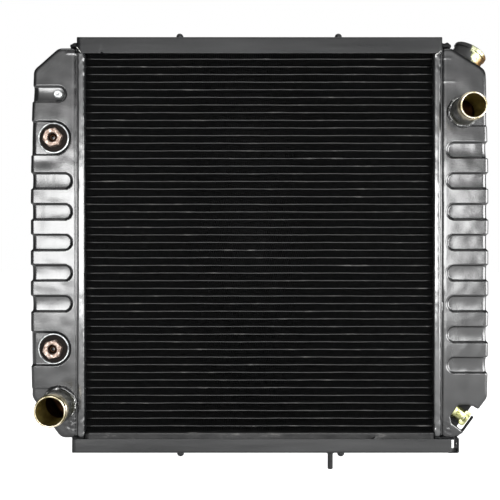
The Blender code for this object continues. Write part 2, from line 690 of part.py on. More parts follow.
def drain_cock():
    """The cock's threaded body, the rubber seal on its screw's inner end and the wing-headed screw."""
    origin, out = cock_frame()
    wall = -0.0285 + GAP
    body = turned("drain_cock_body",
                  [(0.0035, -0.0118), (0.0066, -0.0118), (0.0070, -0.0124), (0.0070, -0.0225), (0.0088, -0.0235),
                   (0.0088, wall), (0.0060, wall), (0.0060, -0.0370), (0.0022, -0.0370), (0.0022, -0.0262),
                   (0.0050, -0.0262), (0.0050, -0.0170), (0.0035, -0.0170)],
                  origin, out, ROUND, math.pi / ROUND)
    _, _, up = chamfer_frame()
    spout = rod("drain_spout", origin + out * -0.0205, -up, 0.002, 0.012, 0.0016, 8)
    boolean(body, helper(spout))
    seal = turned("drain_seal",
                  [(0, -0.0234), (0.0042, -0.0234), (0.0042, -0.0259), (0, -0.0259)], origin, out, 12)
    screw = rod("drain_screw", origin, out, -0.0231, -0.0075, 0.0031, 12, math.pi / 12)
    boolean(screw, wing(origin, out), "UNION")
    hole = rod("wing_hole", origin + out * -0.0062, (0, 1, 0), -0.01, 0.01, 0.0016, 8)
    boolean(screw, helper(hole))
    return keep(body, BRASS), keep(seal, RUBBER), keep(screw, BRASS)


def wing(origin, out):
    """The screw's flat wing, broad across the front view."""
    half_span, thickness, low, high = 0.0108, 0.0042, -0.0112, -0.0012
    paddle = box("drain_wing", (-half_span, -thickness / 2, low), (half_span, thickness / 2, high), 0.0028, along=1)
    up = Vector((0, 1, 0)).cross(out)
    turn = Matrix((up, (0, 1, 0), out)).transposed().to_4x4()
    paddle.matrix_world = Matrix.Translation(origin) @ turn
    return helper(paddle)


# ---------------------------------------------------------------- assembly
def main():
    for side in ("left", "right"):
        tank(side)
        header_plate(side)
        gusset(side)
    tube_bank()
    fin_pack()
    end_plates()
    upper_channel()
    lower_channel()
    for name in RIVETS:
        rivet(name)
    locating_pin()
    for name in NECKS:
        hose_neck(name)
    filler_neck()
    for place in COOLER_Z:
        cooler_fitting(place)
    oil_cooler()
    tank_plug()
    drain_cock()


main()
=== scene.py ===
import math

import bmesh
import bpy
import numpy as np
from mathutils import Matrix, Vector

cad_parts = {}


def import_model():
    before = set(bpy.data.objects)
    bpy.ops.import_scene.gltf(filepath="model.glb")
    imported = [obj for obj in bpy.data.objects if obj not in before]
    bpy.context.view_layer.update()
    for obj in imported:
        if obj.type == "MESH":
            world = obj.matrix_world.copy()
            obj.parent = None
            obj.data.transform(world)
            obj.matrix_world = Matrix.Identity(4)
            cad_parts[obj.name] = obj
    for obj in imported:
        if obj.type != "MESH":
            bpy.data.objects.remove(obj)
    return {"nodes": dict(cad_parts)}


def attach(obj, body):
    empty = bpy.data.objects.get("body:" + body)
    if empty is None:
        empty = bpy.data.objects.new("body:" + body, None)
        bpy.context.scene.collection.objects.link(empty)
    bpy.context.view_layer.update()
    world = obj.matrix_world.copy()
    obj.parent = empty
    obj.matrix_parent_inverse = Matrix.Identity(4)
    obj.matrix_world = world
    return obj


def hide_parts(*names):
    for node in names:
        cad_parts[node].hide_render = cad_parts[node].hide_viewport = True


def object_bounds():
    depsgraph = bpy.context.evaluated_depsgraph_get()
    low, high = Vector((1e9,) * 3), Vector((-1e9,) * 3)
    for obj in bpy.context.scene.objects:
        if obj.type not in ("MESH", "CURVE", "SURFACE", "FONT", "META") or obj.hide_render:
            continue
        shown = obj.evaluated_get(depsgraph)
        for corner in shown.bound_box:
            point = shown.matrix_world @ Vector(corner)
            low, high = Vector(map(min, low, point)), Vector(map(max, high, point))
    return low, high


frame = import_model()
CAD_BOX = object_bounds()
NODES = frame["nodes"]

# Sizes in metres. X runs across the radiator, Y from its front to its back, Z up.
GAP = 0.0003
TANK_HALF_DEPTH = 0.0289
TANK_EDGE_X = 0.2638
TANK_SEAM_X = 0.2646          # open edge of the tank, a groove away from the header
TANK_OUTER_X = 0.3335
TANK_BOTTOM_Z = 0.0225
TANK_FOOT = 0.0018            # how far solder and paint carry the tanks below their sheet
TANK_TOP_Z = 0.5887
TANK_STEP = 0.0015            # mesh size of the pressed tanks
TANK_WALL = 0.0034
CAVITY_DEPTH = 0.0015         # how far inside the skin the faces of a cavity lie at least
NECK_ROOM = 0.030             # half height of the hollow behind a hose neck
FILLER_ROOM = 0.026           # radius of the hollow under the filler neck
FILLER_BORE, FILLER_BORE_DEPTH = 0.0185, 0.012
TONGUE_X = 0.2560             # the tank's edge reaches into the header to about here
TONGUE_HALF_WIDTH = 0.006
TANK_OUTLINE_BLEND = 0.0150   # rounding of the outline's corners, scaled by how sharp each is
TANK_EDGE_BLEND = 0.0064      # rounding between the front face and the sides
TANK_SEAM_BLEND = 0.0064      # rounding along the open edge
LOWER_CHAMFER = (0.0415, 0.057)
UPPER_CHAMFER = {"left": (0.037, 0.032), "right": (0.051, 0.032)}
TAPER_TOP_Z = 0.420
TAPER_BOTTOM_Z = 0.200
UPPER_TAPER = 0.004
LOWER_TAPER = 0.0015

BEAD_DEPTH = 0.0035
BEAD_WALL = 0.0034            # width of a bead's sloping side
BEAD_HOLLOW = 0.0008          # how much deeper a bead is along its middle
BEAD_SIDE = 0.62              # a bead's depth on the tank's outer face, as a share
BEAD_LIP = 0.0004             # how far the slope starts outside the bead
BEAD_PITCH = 0.0446
BEAD_FIRST_Z = 0.1272
BEAD_HALF_HEIGHT = 0.0124
BEAD_CENTRE_X = 0.2824
BEAD_RUN_OUT = 0.9            # how much gentler the slope is at a bead's inner end
BEADS = {"left": range(2, 7), "right": range(0, 8)}
PLUG_X, PLUG_Z = 0.293, 0.5211
PLUG_BEAD_HALF_HEIGHT = 0.0121
PLUG_BEAD_CENTRE_X = 0.2911
PLUG_BEAD_HOLLOW = 0.0014
COOLER_X = 0.2987
COOLER_Z = {"lower": 0.1511, "upper": 0.4568}
PAD_RADIUS = 0.0254
PAD_DEPTH = 0.0025
PAD_WALL = 0.0030

HEADER_X = 0.2530
HEADER_SHIFT = {"left": 0.0010, "right": 0.0}    # the left header was soldered a little further out
HEADER_HALF_DEPTH = 0.0286
HEADER_MARGIN = 0.0003
HEADER_FOLD_X = 0.2588        # the rim bends back very slightly from here to the tank
HEADER_FOLD_SLOPE = 0.050
HEADER_STEP = 0.0012

TUBE_COUNT = 49
TUBE_FIRST_Z = 0.0366
TUBE_PITCH = 0.0112
TUBE_THICKNESS = 0.0025
TUBE_DEPTH = 0.0370
TUBE_END_X = 0.2580
CORE_HALF_DEPTH = 0.0200
CORE_BOTTOM_Z = 0.0299
CORE_TOP_Z = 0.5808
FIN_WAVES = 160
FIN_POINTS = 6                # points along one wave of a fin
FIN_THICKNESS = 0.00014

CHANNEL_WALL = 0.0015
GUSSET_REACH = {"left": 0.0108, "right": 0.0142}
CHANNEL_HALF_DEPTH = 0.0308
CHANNEL_HEIGHT = {"lower": 0.0203, "upper": 0.0240}
OVERALL_HEIGHT = 0.6034
UPPER_CHANNEL_HALF_LENGTH = 0.2646
LOWER_CHANNEL_ENDS = (-0.2715, 0.2780)
END_TAB_X = 0.2890
END_TAB_BACK = -0.0090
END_TAB_TOP = 0.0215
END_PLATE_WALL = 0.0012
END_PLATE_DROP = 0.0200
END_PLATE_HALF_LENGTH = 0.2525
RELIEF_WIDTH = 0.0016         # slanting cuts in the end plates
RELIEF_X = 0.160
RELIEF_RISE = 0.012
RELIEF_LEAN = math.radians(55)
NOTCH_X = (-0.2300, -0.2270)  # notch in the upper channel's front flange
NOTCH_BACK, NOTCH_RISE = -0.028, 0.0045

NECKS = {                     # x, z, outer radius, side, seed of its solder
    "outlet_neck": (-0.2910, 0.0705, 0.02225, "left", 31),
    "inlet_neck": (0.2960, 0.4950, 0.01905, "right", 32),
}
NECK_LENGTH = 0.0470
NECK_WALL = 0.0015
FILLER_HEIGHT = 0.0210
FILLER_RADIUS = 0.0255
PIN_X, PIN_Y = 0.1035, -0.0200
PIN_LENGTH = 0.0257
PIN_RADIUS = 0.0038
RIVETS = {"upper_left_rivet": (-0.1160, 1), "upper_right_rivet": (0.1150, 1),
          "lower_left_rivet": (-0.1150, -1), "lower_right_rivet": (0.1185, -1)}
RIVET_Y = -0.0230
CREASES = {                   # height, end, rise and width
    "left": [(0.5800, 0.2840, 0.0004, 0.0020)],
    "right": [(0.5730, 0.2820, 0.00022, 0.0020), (0.5394, 0.2870, 0.00018, 0.0019)],
}
DENTS = {                     # place across and up, width, height and depth
    "left": [(0.3120, 0.4240, 0.016, 0.009, 0.0011), (0.2960, 0.3700, 0.014, 0.006, 0.0003),
             (0.2900, 0.1160, 0.012, 0.010, 0.0005)],
    "right": [(0.2900, 0.5250, 0.010, 0.012, 0.0004), (0.3080, 0.4300, 0.009, 0.010, 0.0003),
              (0.2800, 0.0600, 0.010, 0.012, 0.0004), (0.3150, 0.2720, 0.008, 0.008, 0.0003)],
}
NECK_PADS = {                 # x outwards, z, radius of the flat pressed for each neck
    "left": (0.2910, 0.0705, 0.0238),
    "right": (0.2960, 0.4950, 0.0215),
}
NECK_PAD_DEPTH = 0.0007
ROUGH_PATCHES = {             # place across and up, width and height of solder left under the paint
    "left": (0.2735, 0.0420, 0.0090, 0.0120),
    "right": (0.2725, 0.0350, 0.0070, 0.0100),
}
SOLDER_RUNS = {               # bright runs of bare solder: points across and up, depth, radius
    "upper_left_tack": ([(-0.2643, 0.5874), (-0.2590, 0.5809)], -0.0303, 0.0008),
    "upper_right_tack": ([(0.2548, 0.5766), (0.2626, 0.5824)], -0.0300, 0.0008),
}
FOOT_SOLDER = {               # how far across the black solder under each tank reaches
    "left": (0.2536, 0.2735),
    "right": (0.2536, 0.2840),
}
NECK_ARCS = {                 # bright solder round a neck's foot: start, end in degrees, radius of the run
    "outlet_neck": [(-38, -22, 0.0009), (-12, 4, 0.0008), (14, 24, 0.0009), (150, 168, 0.0006)],
    "inlet_neck": [(112, 158, 0.0011), (196, 206, 0.0006)],
}
BRACE_HALF_DEPTH = 0.0285     # half depth of the gussets and of the solder under the tanks
BRACE_ROOM_Y = (-0.031, 0.031)
TURN = {"left": -1.0, "right": 1.0}      # which way a side's pieces face
SEED = {"left": 0, "right": 1}           # added to a piece's seed
POCKET_FLOOR_Y = 0.0020
POCKET = [(0.020, -0.0254), (-0.0210, -0.0254), (-0.0285, -0.0185), (-0.0285, 0.0015),
          (-0.019, 0.009), (-0.009, 0.013), (0.020, 0.013)]
FLOOR_GLOW = 0.94             # how white the floor looks where nothing lights it
FLOOR_SHEEN = 0.30            # how bright it is in reflections
FLOOR_REACH = 9.0
STUDIO_FRONT = 2.15           # brightness of the studio straight in front of the radiator
STUDIO_FALL = 8.0             # how fast it falls off to the sides
STUDIO_FILL = 0.10
WHITE = (1.0, 1.0, 1.0, 1.0)
RIM_ALONG, RIM_HALF_WIDTH = -0.0018, 0.0016      # the strip of sheet left outside the pocket
RIM_Y, RIM_HALF_DEPTH = -0.0258, 0.0022
RIM_ACROSS, RIM_HALF_LENGTH = -0.0145, 0.0155
COCK_Y = -0.0145
COCK_OFFSET = -0.0085
WING_HALF_SPAN, WING_THICKNESS = 0.0122, 0.0048
WING_ENDS = (-0.0112, -0.0004)                   # heights along the screw's axis
WING_HOLE_AT, WING_HOLE_RADIUS = -0.0062, 0.0016
HUB_AT, HUB_HALF_LENGTH, HUB_RADIUS = -0.0100, 0.0016, 0.0046
SHAFT_AT, SHAFT_HALF_LENGTH, SHAFT_RADIUS = -0.0153, 0.0078, 0.0029
THREAD_HEIGHT, THREAD_PITCH = 0.00022, 0.0010


# ---------------------------------------------------------------- fields
def smooth_max(a, b, blend):
    """The larger of two distances, with the crease between them rounded."""
    near = np.maximum(blend - np.abs(a - b), 0.0) / blend
    return np.maximum(a, b) + near * near * blend * 0.25


def smooth_min(a, b, blend):
    return -smooth_max(-a, -b, blend)


def smooth_step(value):
    value = np.clip(value, 0.0, 1.0)
    return value * value * (3.0 - 2.0 * value)


def lumps(size, seed, waves=12):
    """A gently uneven function of place, about 1 high, with features of one size."""
    random = np.random.default_rng(seed)
    directions = random.normal(size=(waves, 3))
    directions /= np.linalg.norm(directions, axis=1)[:, None]
    rates = 2 * math.pi / (size * random.uniform(0.7, 1.6, waves))
    phases = random.uniform(0, 2 * math.pi, waves)

    def value(x, y, z):
        total = 0.0
        for (dx, dy, dz), rate, phase in zip(directions, rates, phases):
            total = total + np.sin((x * dx + y * dy + z * dz) * rate + phase)
        return total / math.sqrt(waves / 2)

    return value


def outline_planes(points):
    """The edges of a convex outline as (normal, normal, offset), normals outwards."""
    area = sum(a[0] * b[1] - b[0] * a[1] for a, b in zip(points, points[1:] + points[:1]))
    turn = 1.0 if area > 0 else -1.0
    planes = []
    for (x0, z0), (x1, z1) in zip(points, points[1:] + points[:1]):
        length = math.hypot(x1 - x0, z1 - z0)
        nx, nz = turn * (z1 - z0) / length, -turn * (x1 - x0) / length
        planes.append((nx, nz, nx * x0 + nz * z0))
    return planes


def inside_planes(planes, x, z, blend):
    """Distance inside a convex outline whose corners are rounded, sharp ones most."""
    nx, nz, offset = planes[0]
    distance = nx * x + nz * z - offset
    for (px, pz, _), (nx, nz, offset) in zip(planes, planes[1:]):
        reach = max(blend * (1.0 - px * nx - pz * nz), 0.0002)
        distance = smooth_max(distance, nx * x + nz * z - offset, reach)
    return distance


def slot_distance(out, z, centre_out, centre_z, half):
    """Distance to a slot that ends in a half circle and runs off outwards."""
    return np.hypot(np.minimum(out - centre_out, 0.0), z - centre_z) - half


def axis_distance(x, y, z, origin, axis):
    """Distance from a line, and height along it."""
    dx, dy, dz = x - origin[0], y - origin[1], z - origin[2]
    along = dx * axis[0] + dy * axis[1] + dz * axis[2]
    across = dx * dx + dy * dy + dz * dz - along * along
    return np.sqrt(np.maximum(across, 1e-12)), along


def gradient(field, points, reach):
    columns = []
    for axis in range(3):
        shift = np.zeros(3)
        shift[axis] = reach
        ahead, behind = points + shift, points - shift
        columns.append((field(*ahead.T) - field(*behind.T)) / (2 * reach))
    return np.stack(columns, axis=1)


def surface_nets(field, low, high, step):
    """The surface where a field is zero: points, unit normals and quads."""
    low = np.array(low, float)
    counts = np.ceil((np.array(high, float) - low) / step).astype(int) + 1
    axes = [low[i] + step * np.arange(counts[i]) for i in range(3)]
    values = field(*np.meshgrid(*axes, indexing="ij"))
    inside = values < 0.0
    cells = counts - 1
    size = int(np.prod(cells))
    sums = np.zeros((size, 3))
    hits = np.zeros(size)
    edges = []
    for axis in range(3):
        first = [slice(None)] * 3
        second = [slice(None)] * 3
        first[axis], second[axis] = slice(0, -1), slice(1, None)
        first, second = tuple(first), tuple(second)
        found = np.argwhere(inside[first] != inside[second])
        a = values[first][tuple(found.T)]
        b = values[second][tuple(found.T)]
        places = found.astype(float)
        places[:, axis] += a / (a - b)
        one, two = (axis + 1) % 3, (axis + 2) % 3
        around = []
        for shift_one, shift_two in ((-1, -1), (0, -1), (0, 0), (-1, 0)):
            cell = found.copy()
            cell[:, one] += shift_one
            cell[:, two] += shift_two
            valid = np.all((cell >= 0) & (cell < cells), axis=1)
            flat = (cell[:, 0] * cells[1] + cell[:, 1]) * cells[2] + cell[:, 2]
            flat = np.where(valid, flat, -1)
            np.add.at(sums, flat[valid], places[valid])
            np.add.at(hits, flat[valid], 1)
            around.append(flat)
        edges.append((np.stack(around, axis=1), a < 0))
    used = np.flatnonzero(hits)
    number = np.full(size, -1)
    number[used] = np.arange(len(used))
    points = low + step * sums[used] / hits[used][:, None]
    quads = []
    for around, outward in edges:
        around = around[np.all(around >= 0, axis=1)] if np.any(around < 0) else around
        quad = number[around]
        quads.append(np.where(outward[:len(quad), None], quad, quad[:, ::-1]))
    reach = step * 0.05
    for _ in range(3):
        slope = gradient(field, points, reach)
        move = -field(*points.T)[:, None] * slope / np.maximum((slope ** 2).sum(1), 1e-9)[:, None]
        length = np.linalg.norm(move, axis=1)[:, None]
        points = points + move * np.minimum(1.0, 0.6 * step / np.maximum(length, 1e-12))
    slope = gradient(field, points, reach)
    normals = slope / np.maximum(np.linalg.norm(slope, axis=1), 1e-9)[:, None]
    return points, normals, np.concatenate(quads)


# ---------------------------------------------------------------- meshes
def linked(name, data):
    """A new object in the scene."""
    obj = bpy.data.objects.new(name, data)
    bpy.context.scene.collection.objects.link(obj)
    return obj


def piece(name, mesh, surface, slot, body="radiator", stands_for=()):
    """Links a mesh as a finished piece that rides on a body."""
    mesh.polygons.foreach_set("use_smooth", [True] * len(mesh.polygons))
    mesh.materials.clear()
    mesh.materials.append(surface)
    obj = linked(name, mesh)
    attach(obj, body)
    if stands_for:
        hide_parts(*stands_for)
    return obj


def mesh_from(name, points, faces, normals=None):
    mesh = bpy.data.meshes.new(name)
    mesh.from_pydata(np.asarray(points).tolist(), [], [list(map(int, face)) for face in faces])
    if normals is not None:
        mesh.polygons.foreach_set("use_smooth", [True] * len(mesh.polygons))
        mesh.normals_split_custom_set_from_vertices(normals.tolist())
    mesh.update()
    return mesh


def field_piece(name, field, x, y, z, step, surface, slot, **settings):
    """The surface where a field is zero as a piece. x, y and z are the ranges it is looked for in."""
    low, high = zip(sorted(x), y, z)
    points, normals, quads = surface_nets(field, low, high, step)
    return piece(name, mesh_from(name, points, quads, normals), surface, slot, **settings)


def weighted(obj):
    """Keeps wide flat faces flat where small rounded edges meet them."""
    modifier = obj.modifiers.new("flat_faces", "WEIGHTED_NORMAL")
    modifier.weight = 80
    return obj


def rounded(points, radius, segments=3):
    """A closed outline with its corners rounded. A corner given no radius stays sharp."""
    count = len(points)
    radii = radius if isinstance(radius, (list, tuple)) else [radius] * count
    result = []
    for i in range(count):
        before, here, after = (np.array(points[(i + k) % count], float) for k in (-1, 0, 1))
        back, ahead = before - here, after - here
        back_length, ahead_length = np.linalg.norm(back), np.linalg.norm(ahead)
        back, ahead = back / back_length, ahead / ahead_length
        half = math.acos(float(np.clip(back @ ahead, -1, 1))) / 2
        if radii[i] <= 0 or half > 1.5:
            result.append(tuple(here))
            continue
        cut = min(radii[i] / math.tan(half), 0.45 * back_length, 0.45 * ahead_length)
        middle = (back + ahead) / np.linalg.norm(back + ahead)
        centre = here + middle * cut / math.cos(half)
        start, end = here + back * cut - centre, here + ahead * cut - centre
        first = math.atan2(start[1], start[0])
        sweep = math.atan2(end[1], end[0]) - first
        sweep = (sweep + math.pi) % (2 * math.pi) - math.pi
        size = np.linalg.norm(start)
        for k in range(segments + 1):
            angle = first + sweep * k / segments
            result.append((centre[0] + size * math.cos(angle), centre[1] + size * math.sin(angle)))
    return result


def profile(points, radius, segments=3):
    """A turned piece's closed profile of (radius, height), rounded except on its axis."""
    radii = [0.0 if point[0] < 1e-9 else radius for point in points]
    return rounded(points, radii, segments)


def axes_for(axis):
    axis = Vector(axis).normalized()
    side = Vector((1, 0, 0)) if abs(axis.x) < 0.9 else Vector((0, 1, 0))
    first = (side - axis * side.dot(axis)).normalized()
    return first, axis.cross(first), axis


def mesh_of(bm, name):
    mesh = bpy.data.meshes.new(name)
    bm.to_mesh(mesh)
    bm.free()
    return mesh


def bridge(bm, one, two, skip=()):
    """Faces between two rings of vertices."""
    for j in range(len(one)):
        k = (j + 1) % len(one)
        if j not in skip:
            bm.faces.new((one[j], one[k], two[k], two[j]))


def turned_mesh(name, outline, origin, axis, sides=96, shape=None):
    """An outline of (radius, height) turned round an axis. shape changes a radius by its angle."""
    first, second, axis = axes_for(axis)
    origin = Vector(origin)
    bm = bmesh.new()
    rings = []
    for i in range(sides):
        angle = 2 * math.pi * i / sides
        across = first * math.cos(angle) + second * math.sin(angle)
        ring = []
        for radius, height in outline:
            if shape:
                radius, height = shape(radius, height, angle)
            ring.append(bm.verts.new(origin + across * radius + axis * height))
        rings.append(ring)
    central = [point[0] < 1e-9 for point in outline]
    on_axis = {j for j in range(len(outline)) if central[j] and central[(j + 1) % len(outline)]}
    for one, two in zip(rings, rings[1:] + rings[:1]):
        bridge(bm, one, two, on_axis)
    bmesh.ops.remove_doubles(bm, verts=bm.verts, dist=1e-7)
    bmesh.ops.dissolve_degenerate(bm, edges=bm.edges, dist=1e-8)
    bmesh.ops.recalc_face_normals(bm, faces=bm.faces)
    return mesh_of(bm, name)


def turned_piece(name, outline, edge, origin, axis, sides, surface, slot, shape=None, segments=3,
                 **settings):
    """A turned piece with the corners of its outline rounded to the radius edge."""
    mesh = turned_mesh(name, profile(outline, edge, segments), origin, axis, sides, shape)
    return weighted(piece(name, mesh, surface, slot, **settings))


def sweep(bm, section, stations, place):
    """Carries a closed section along stations. place turns (station, u, v) into a point."""
    rings = [[bm.verts.new(place(station, u, v)) for u, v in section] for station in stations]
    for one, two in zip(rings, rings[1:]):
        bridge(bm, one, two)
    bm.faces.new(rings[0])
    bm.faces.new(rings[-1])


def swept_mesh(name, section, stations, place):
    bm = bmesh.new()
    sweep(bm, section, stations, place)
    bmesh.ops.recalc_face_normals(bm, faces=bm.faces)
    return mesh_of(bm, name)


def box_mesh(name, low, high):
    bm = bmesh.new()
    bmesh.ops.create_cube(bm, size=1.0)
    size = [b - a for a, b in zip(low, high)]
    middle = [(a + b) / 2 for a, b in zip(low, high)]
    bmesh.ops.transform(bm, matrix=Matrix.Diagonal((*size, 1.0)), verts=bm.verts)
    bmesh.ops.translate(bm, vec=middle, verts=bm.verts)
    return mesh_of(bm, name)


def combine(mesh, other, operation="DIFFERENCE", place=None):
    """A mesh after a Boolean with another, which is used up."""
    first = linked("first", mesh)
    second = linked("second", other)
    if place is not None:
        second.matrix_world = place
    modifier = first.modifiers.new("cut", "BOOLEAN")
    modifier.operation = operation
    modifier.solver = "EXACT"
    modifier.object = second
    graph = bpy.context.evaluated_depsgraph_get()
    result = bpy.data.meshes.new_from_object(first.evaluated_get(graph))
    bpy.data.objects.remove(first)
    bpy.data.objects.remove(second)
    result.name = mesh.name
    return result


# ---------------------------------------------------------------- materials
class Nodes:
    """Adds shader nodes to a tree and links them."""

    def __init__(self, tree):
        self.nodes, self.links = tree.nodes, tree.links

    def set(self, node, values):
        for key, value in values.items():
            socket = node.inputs[key if isinstance(key, int) else key.replace("_", " ")]
            if isinstance(value, bpy.types.NodeSocket):
                self.links.new(value, socket)
            else:
                socket.default_value = value

    def add(self, kind, **settings):
        node = self.nodes.new(kind)
        self.set(node, settings)
        return node

    def math(self, operation, *values):
        node = self.nodes.new("ShaderNodeMath")
        node.operation = operation
        self.set(node, dict(enumerate(values)))
        return node.outputs[0]


class Surface(Nodes):
    """A material under construction: one Principled shader and the nodes that feed it."""

    def __init__(self, name, **settings):
        self.material = bpy.data.materials.new(name)
        self.material.use_nodes = True
        super().__init__(self.material.node_tree)
        self.shader = self.nodes["Principled BSDF"]
        self.set(self.shader, settings)
        self.place = self.add("ShaderNodeTexCoord").outputs["Object"]

    def noise(self, scale, detail=3.0, roughness=0.5, stretch=None, distortion=0.0):
        place = self.place
        if stretch:
            place = self.add("ShaderNodeMapping", Vector=place, Scale=stretch).outputs["Vector"]
        node = self.add("ShaderNodeTexNoise", Vector=place, Scale=scale, Detail=detail,
                        Roughness=roughness, Distortion=distortion)
        return node.outputs["Fac"]

    def ramp(self, value, *stops):
        node = self.add("ShaderNodeValToRGB", Fac=value)
        elements = node.color_ramp.elements
        while len(elements) < len(stops):
            elements.new(0.5)
        for element, (position, shade) in zip(elements, stops):
            element.position = position
            element.color = (*shade, 1.0) if isinstance(shade, tuple) else (shade, shade, shade, 1.0)
        return node.outputs["Color"]

    def layer(self, noise, *stops):
        """A noise, given by its settings, through a ramp."""
        return self.ramp(self.noise(*noise), *stops)

    def mix(self, factor, first, second):
        node = self.nodes.new("ShaderNodeMix")
        node.data_type = "RGBA"
        self.set(node, {0: factor, 6: first, 7: second})
        return node.outputs[2]

    def bump(self, height, strength, distance, normal=None):
        node = self.add("ShaderNodeBump", Height=height, Strength=strength, Distance=distance)
        if normal is not None:
            self.links.new(normal, node.inputs["Normal"])
        return node.outputs["Normal"]

    def coordinate(self, axis):
        return self.add("ShaderNodeSeparateXYZ", Vector=self.place).outputs[axis]

    def between(self, value, start, end):
        """How far a value has gone from start to end, from 0 to 1."""
        return self.add("ShaderNodeMapRange", Value=value, From_Min=start, From_Max=end).outputs["Result"]

    def overspray(self, axis, bare, covered):
        """How much black paint lies over the metal between two places, with a ragged edge."""
        drift = self.math("MULTIPLY_ADD", self.noise(160.0, 4.0, 0.65), 0.9, -0.45)
        return self.math("ADD", self.between(self.coordinate(axis), bare, covered), drift)

    def finish(self, **inputs):
        self.set(self.shader, inputs)
        return self.material


def layered(name, tint, rough, bumps=(), metallic=None, **settings):
    """A material of noises.

    tint, rough and metallic are (noise, stop, ...) and bumps are (noise, strength, distance).
    """
    s = Surface(name, **settings)
    inputs = {"Base_Color": s.layer(*tint), "Roughness": s.layer(*rough)}
    if metallic:
        inputs["Metallic"] = s.layer(*metallic)
    normal = None
    for noise, strength, distance in bumps:
        normal = s.bump(s.noise(*noise), strength, distance, normal)
    if normal is not None:
        inputs["Normal"] = normal
    return s.finish(**inputs)


def channel_paint(name, ior):
    """Black on the folded channels, thinner and duller than on the tanks, with scuffs along them."""
    return layered(
        name,
        tint=((60.0, 6.0, 0.7, (0.10, 1.0, 1.0)), (0.35, (0.004, 0.0042, 0.0046)),
              (0.62, (0.011, 0.0115, 0.012)), (0.80, (0.045, 0.044, 0.042))),
        rough=((70.0, 5.0, 0.65, (0.06, 1.0, 1.0)), (0.3, 0.24), (0.7, 0.46)),
        bumps=[((300.0, 3.0, 0.6), 0.15, 0.0004)], IOR=ior)


def metal(name, dark, middle, light, low_rough, high_rough, scale=120.0):
    return layered(
        name, tint=((scale, 5.0, 0.6), (0.30, dark), (0.52, middle), (0.76, light)),
        rough=((scale * 1.7, 4.0, 0.6), (0.3, low_rough), (0.7, high_rough)),
        bumps=[((scale * 5.0, 3.0, 0.6), 0.25, 0.0005)], Metallic=1.0)


TARNISH = (75.0, 6.0, 0.62, None, 0.4)
BRASS_TINT = (TARNISH, (0.34, (0.10, 0.088, 0.042)), (0.45, (0.38, 0.33, 0.21)),
              (0.58, (0.66, 0.59, 0.46)), (0.76, (0.82, 0.77, 0.66)))
BRASS_ROUGH = ((140.0, 4.0, 0.6), (0.3, 0.22), (0.7, 0.44))
BRASS_LINES = ((900.0, 2.0, 0.5, (0.05, 1.0, 0.05)), 0.12, 0.0003)


def neck_brass():
    """Spun brass, pale where it was wiped and olive where it has tarnished, with paint over its foot."""
    s = Surface("neck_brass")
    cover = s.overspray("Y", -0.0735, -0.0480)
    mask = s.ramp(cover, (0.35, 0.0), (0.60, 1.0))
    paint = s.layer(TARNISH, (0.40, (0.008, 0.008, 0.007)), (0.66, (0.030, 0.030, 0.020)))
    noise, strength, distance = BRASS_LINES
    return s.finish(Base_Color=s.mix(mask, s.layer(*BRASS_TINT), paint),
                    Metallic=s.ramp(cover, (0.35, 1.0), (0.60, 0.0)), Roughness=s.layer(*BRASS_ROUGH),
                    Normal=s.bump(s.noise(*noise), strength, distance))


def filler_brass():
    """The filler neck's brass: pale and spotted green, brown at its foot, painted on one side."""
    s = Surface("filler_brass")
    spots = (120.0, 5.0, 0.62, None, 0.3)
    pale = s.layer(spots, (0.38, (0.030, 0.040, 0.020)), (0.46, (0.30, 0.31, 0.18)),
                   (0.60, (0.52, 0.53, 0.37)), (0.78, (0.70, 0.71, 0.58)))
    brown = s.layer(spots, (0.36, (0.030, 0.018, 0.008)), (0.70, (0.30, 0.17, 0.06)))
    slant = s.math("SUBTRACT", s.coordinate("X"), s.coordinate("Z"))
    bare = s.mix(s.between(slant, -0.2600, -0.2480), pale, brown)
    cover = s.overspray("X", 0.3150, 0.3030)
    mask = s.ramp(cover, (0.40, 0.0), (0.62, 1.0))
    return s.finish(Base_Color=s.mix(mask, bare, (0.004, 0.004, 0.004, 1.0)),
                    Metallic=s.ramp(cover, (0.40, 1.0), (0.62, 0.0)),
                    Roughness=s.layer((140.0, 4.0, 0.6), (0.3, 0.34), (0.7, 0.62)))


# Glossy black enamel, sprayed over pressed brass: fine orange peel, dust and thin streaks.
PAINT = layered(
    "black_paint",
    tint=((26.0, 5.0, 0.62, (1.0, 1.0, 1.6)), (0.30, (0.0020, 0.0022, 0.0025)),
          (0.62, (0.0050, 0.0052, 0.0055)), (0.80, (0.012, 0.0115, 0.011))),
    rough=((34.0, 4.0, 0.6, (1.0, 1.0, 0.16)), (0.30, 0.17), (0.60, 0.24), (0.78, 0.36)),
    bumps=[((420.0, 2.0, 0.5), 0.10, 0.0004), ((30.0, 2.0, 0.45), 0.16, 0.004)], IOR=1.75)
CHANNEL_PAINT = channel_paint("channel_paint", 1.41)
LOWER_PAINT = channel_paint("lower_channel_paint", 1.52)
# Thin matt black on the fins and on the solder in the corners; also painted shade in the groove along each
# tank's seam, on the drain pocket's walls and on the sheet through the core.
DUST = (150.0, 4.0, 0.6)
CORE = layered(
    "core_paint", tint=(DUST, (0.30, (0.0012, 0.0013, 0.0014)), (0.70, (0.004, 0.0042, 0.0045))),
    rough=(DUST, (0.3, 0.50), (0.7, 0.75)), IOR=1.25)
# Matt black on the tubes' rounded edges, worn thin so that they catch a little light.
WEAR = (120.0, 5.0, 0.65, (0.35, 1.0, 1.0))
TUBE = layered(
    "tube_paint",
    tint=(WEAR, (0.35, (0.003, 0.003, 0.0032)), (0.58, (0.009, 0.009, 0.009)),
          (0.74, (0.075, 0.073, 0.070))),
    rough=(WEAR, (0.3, 0.30), (0.7, 0.48)), bumps=[((500.0, 3.0, 0.6), 0.2, 0.0004)], IOR=1.38)
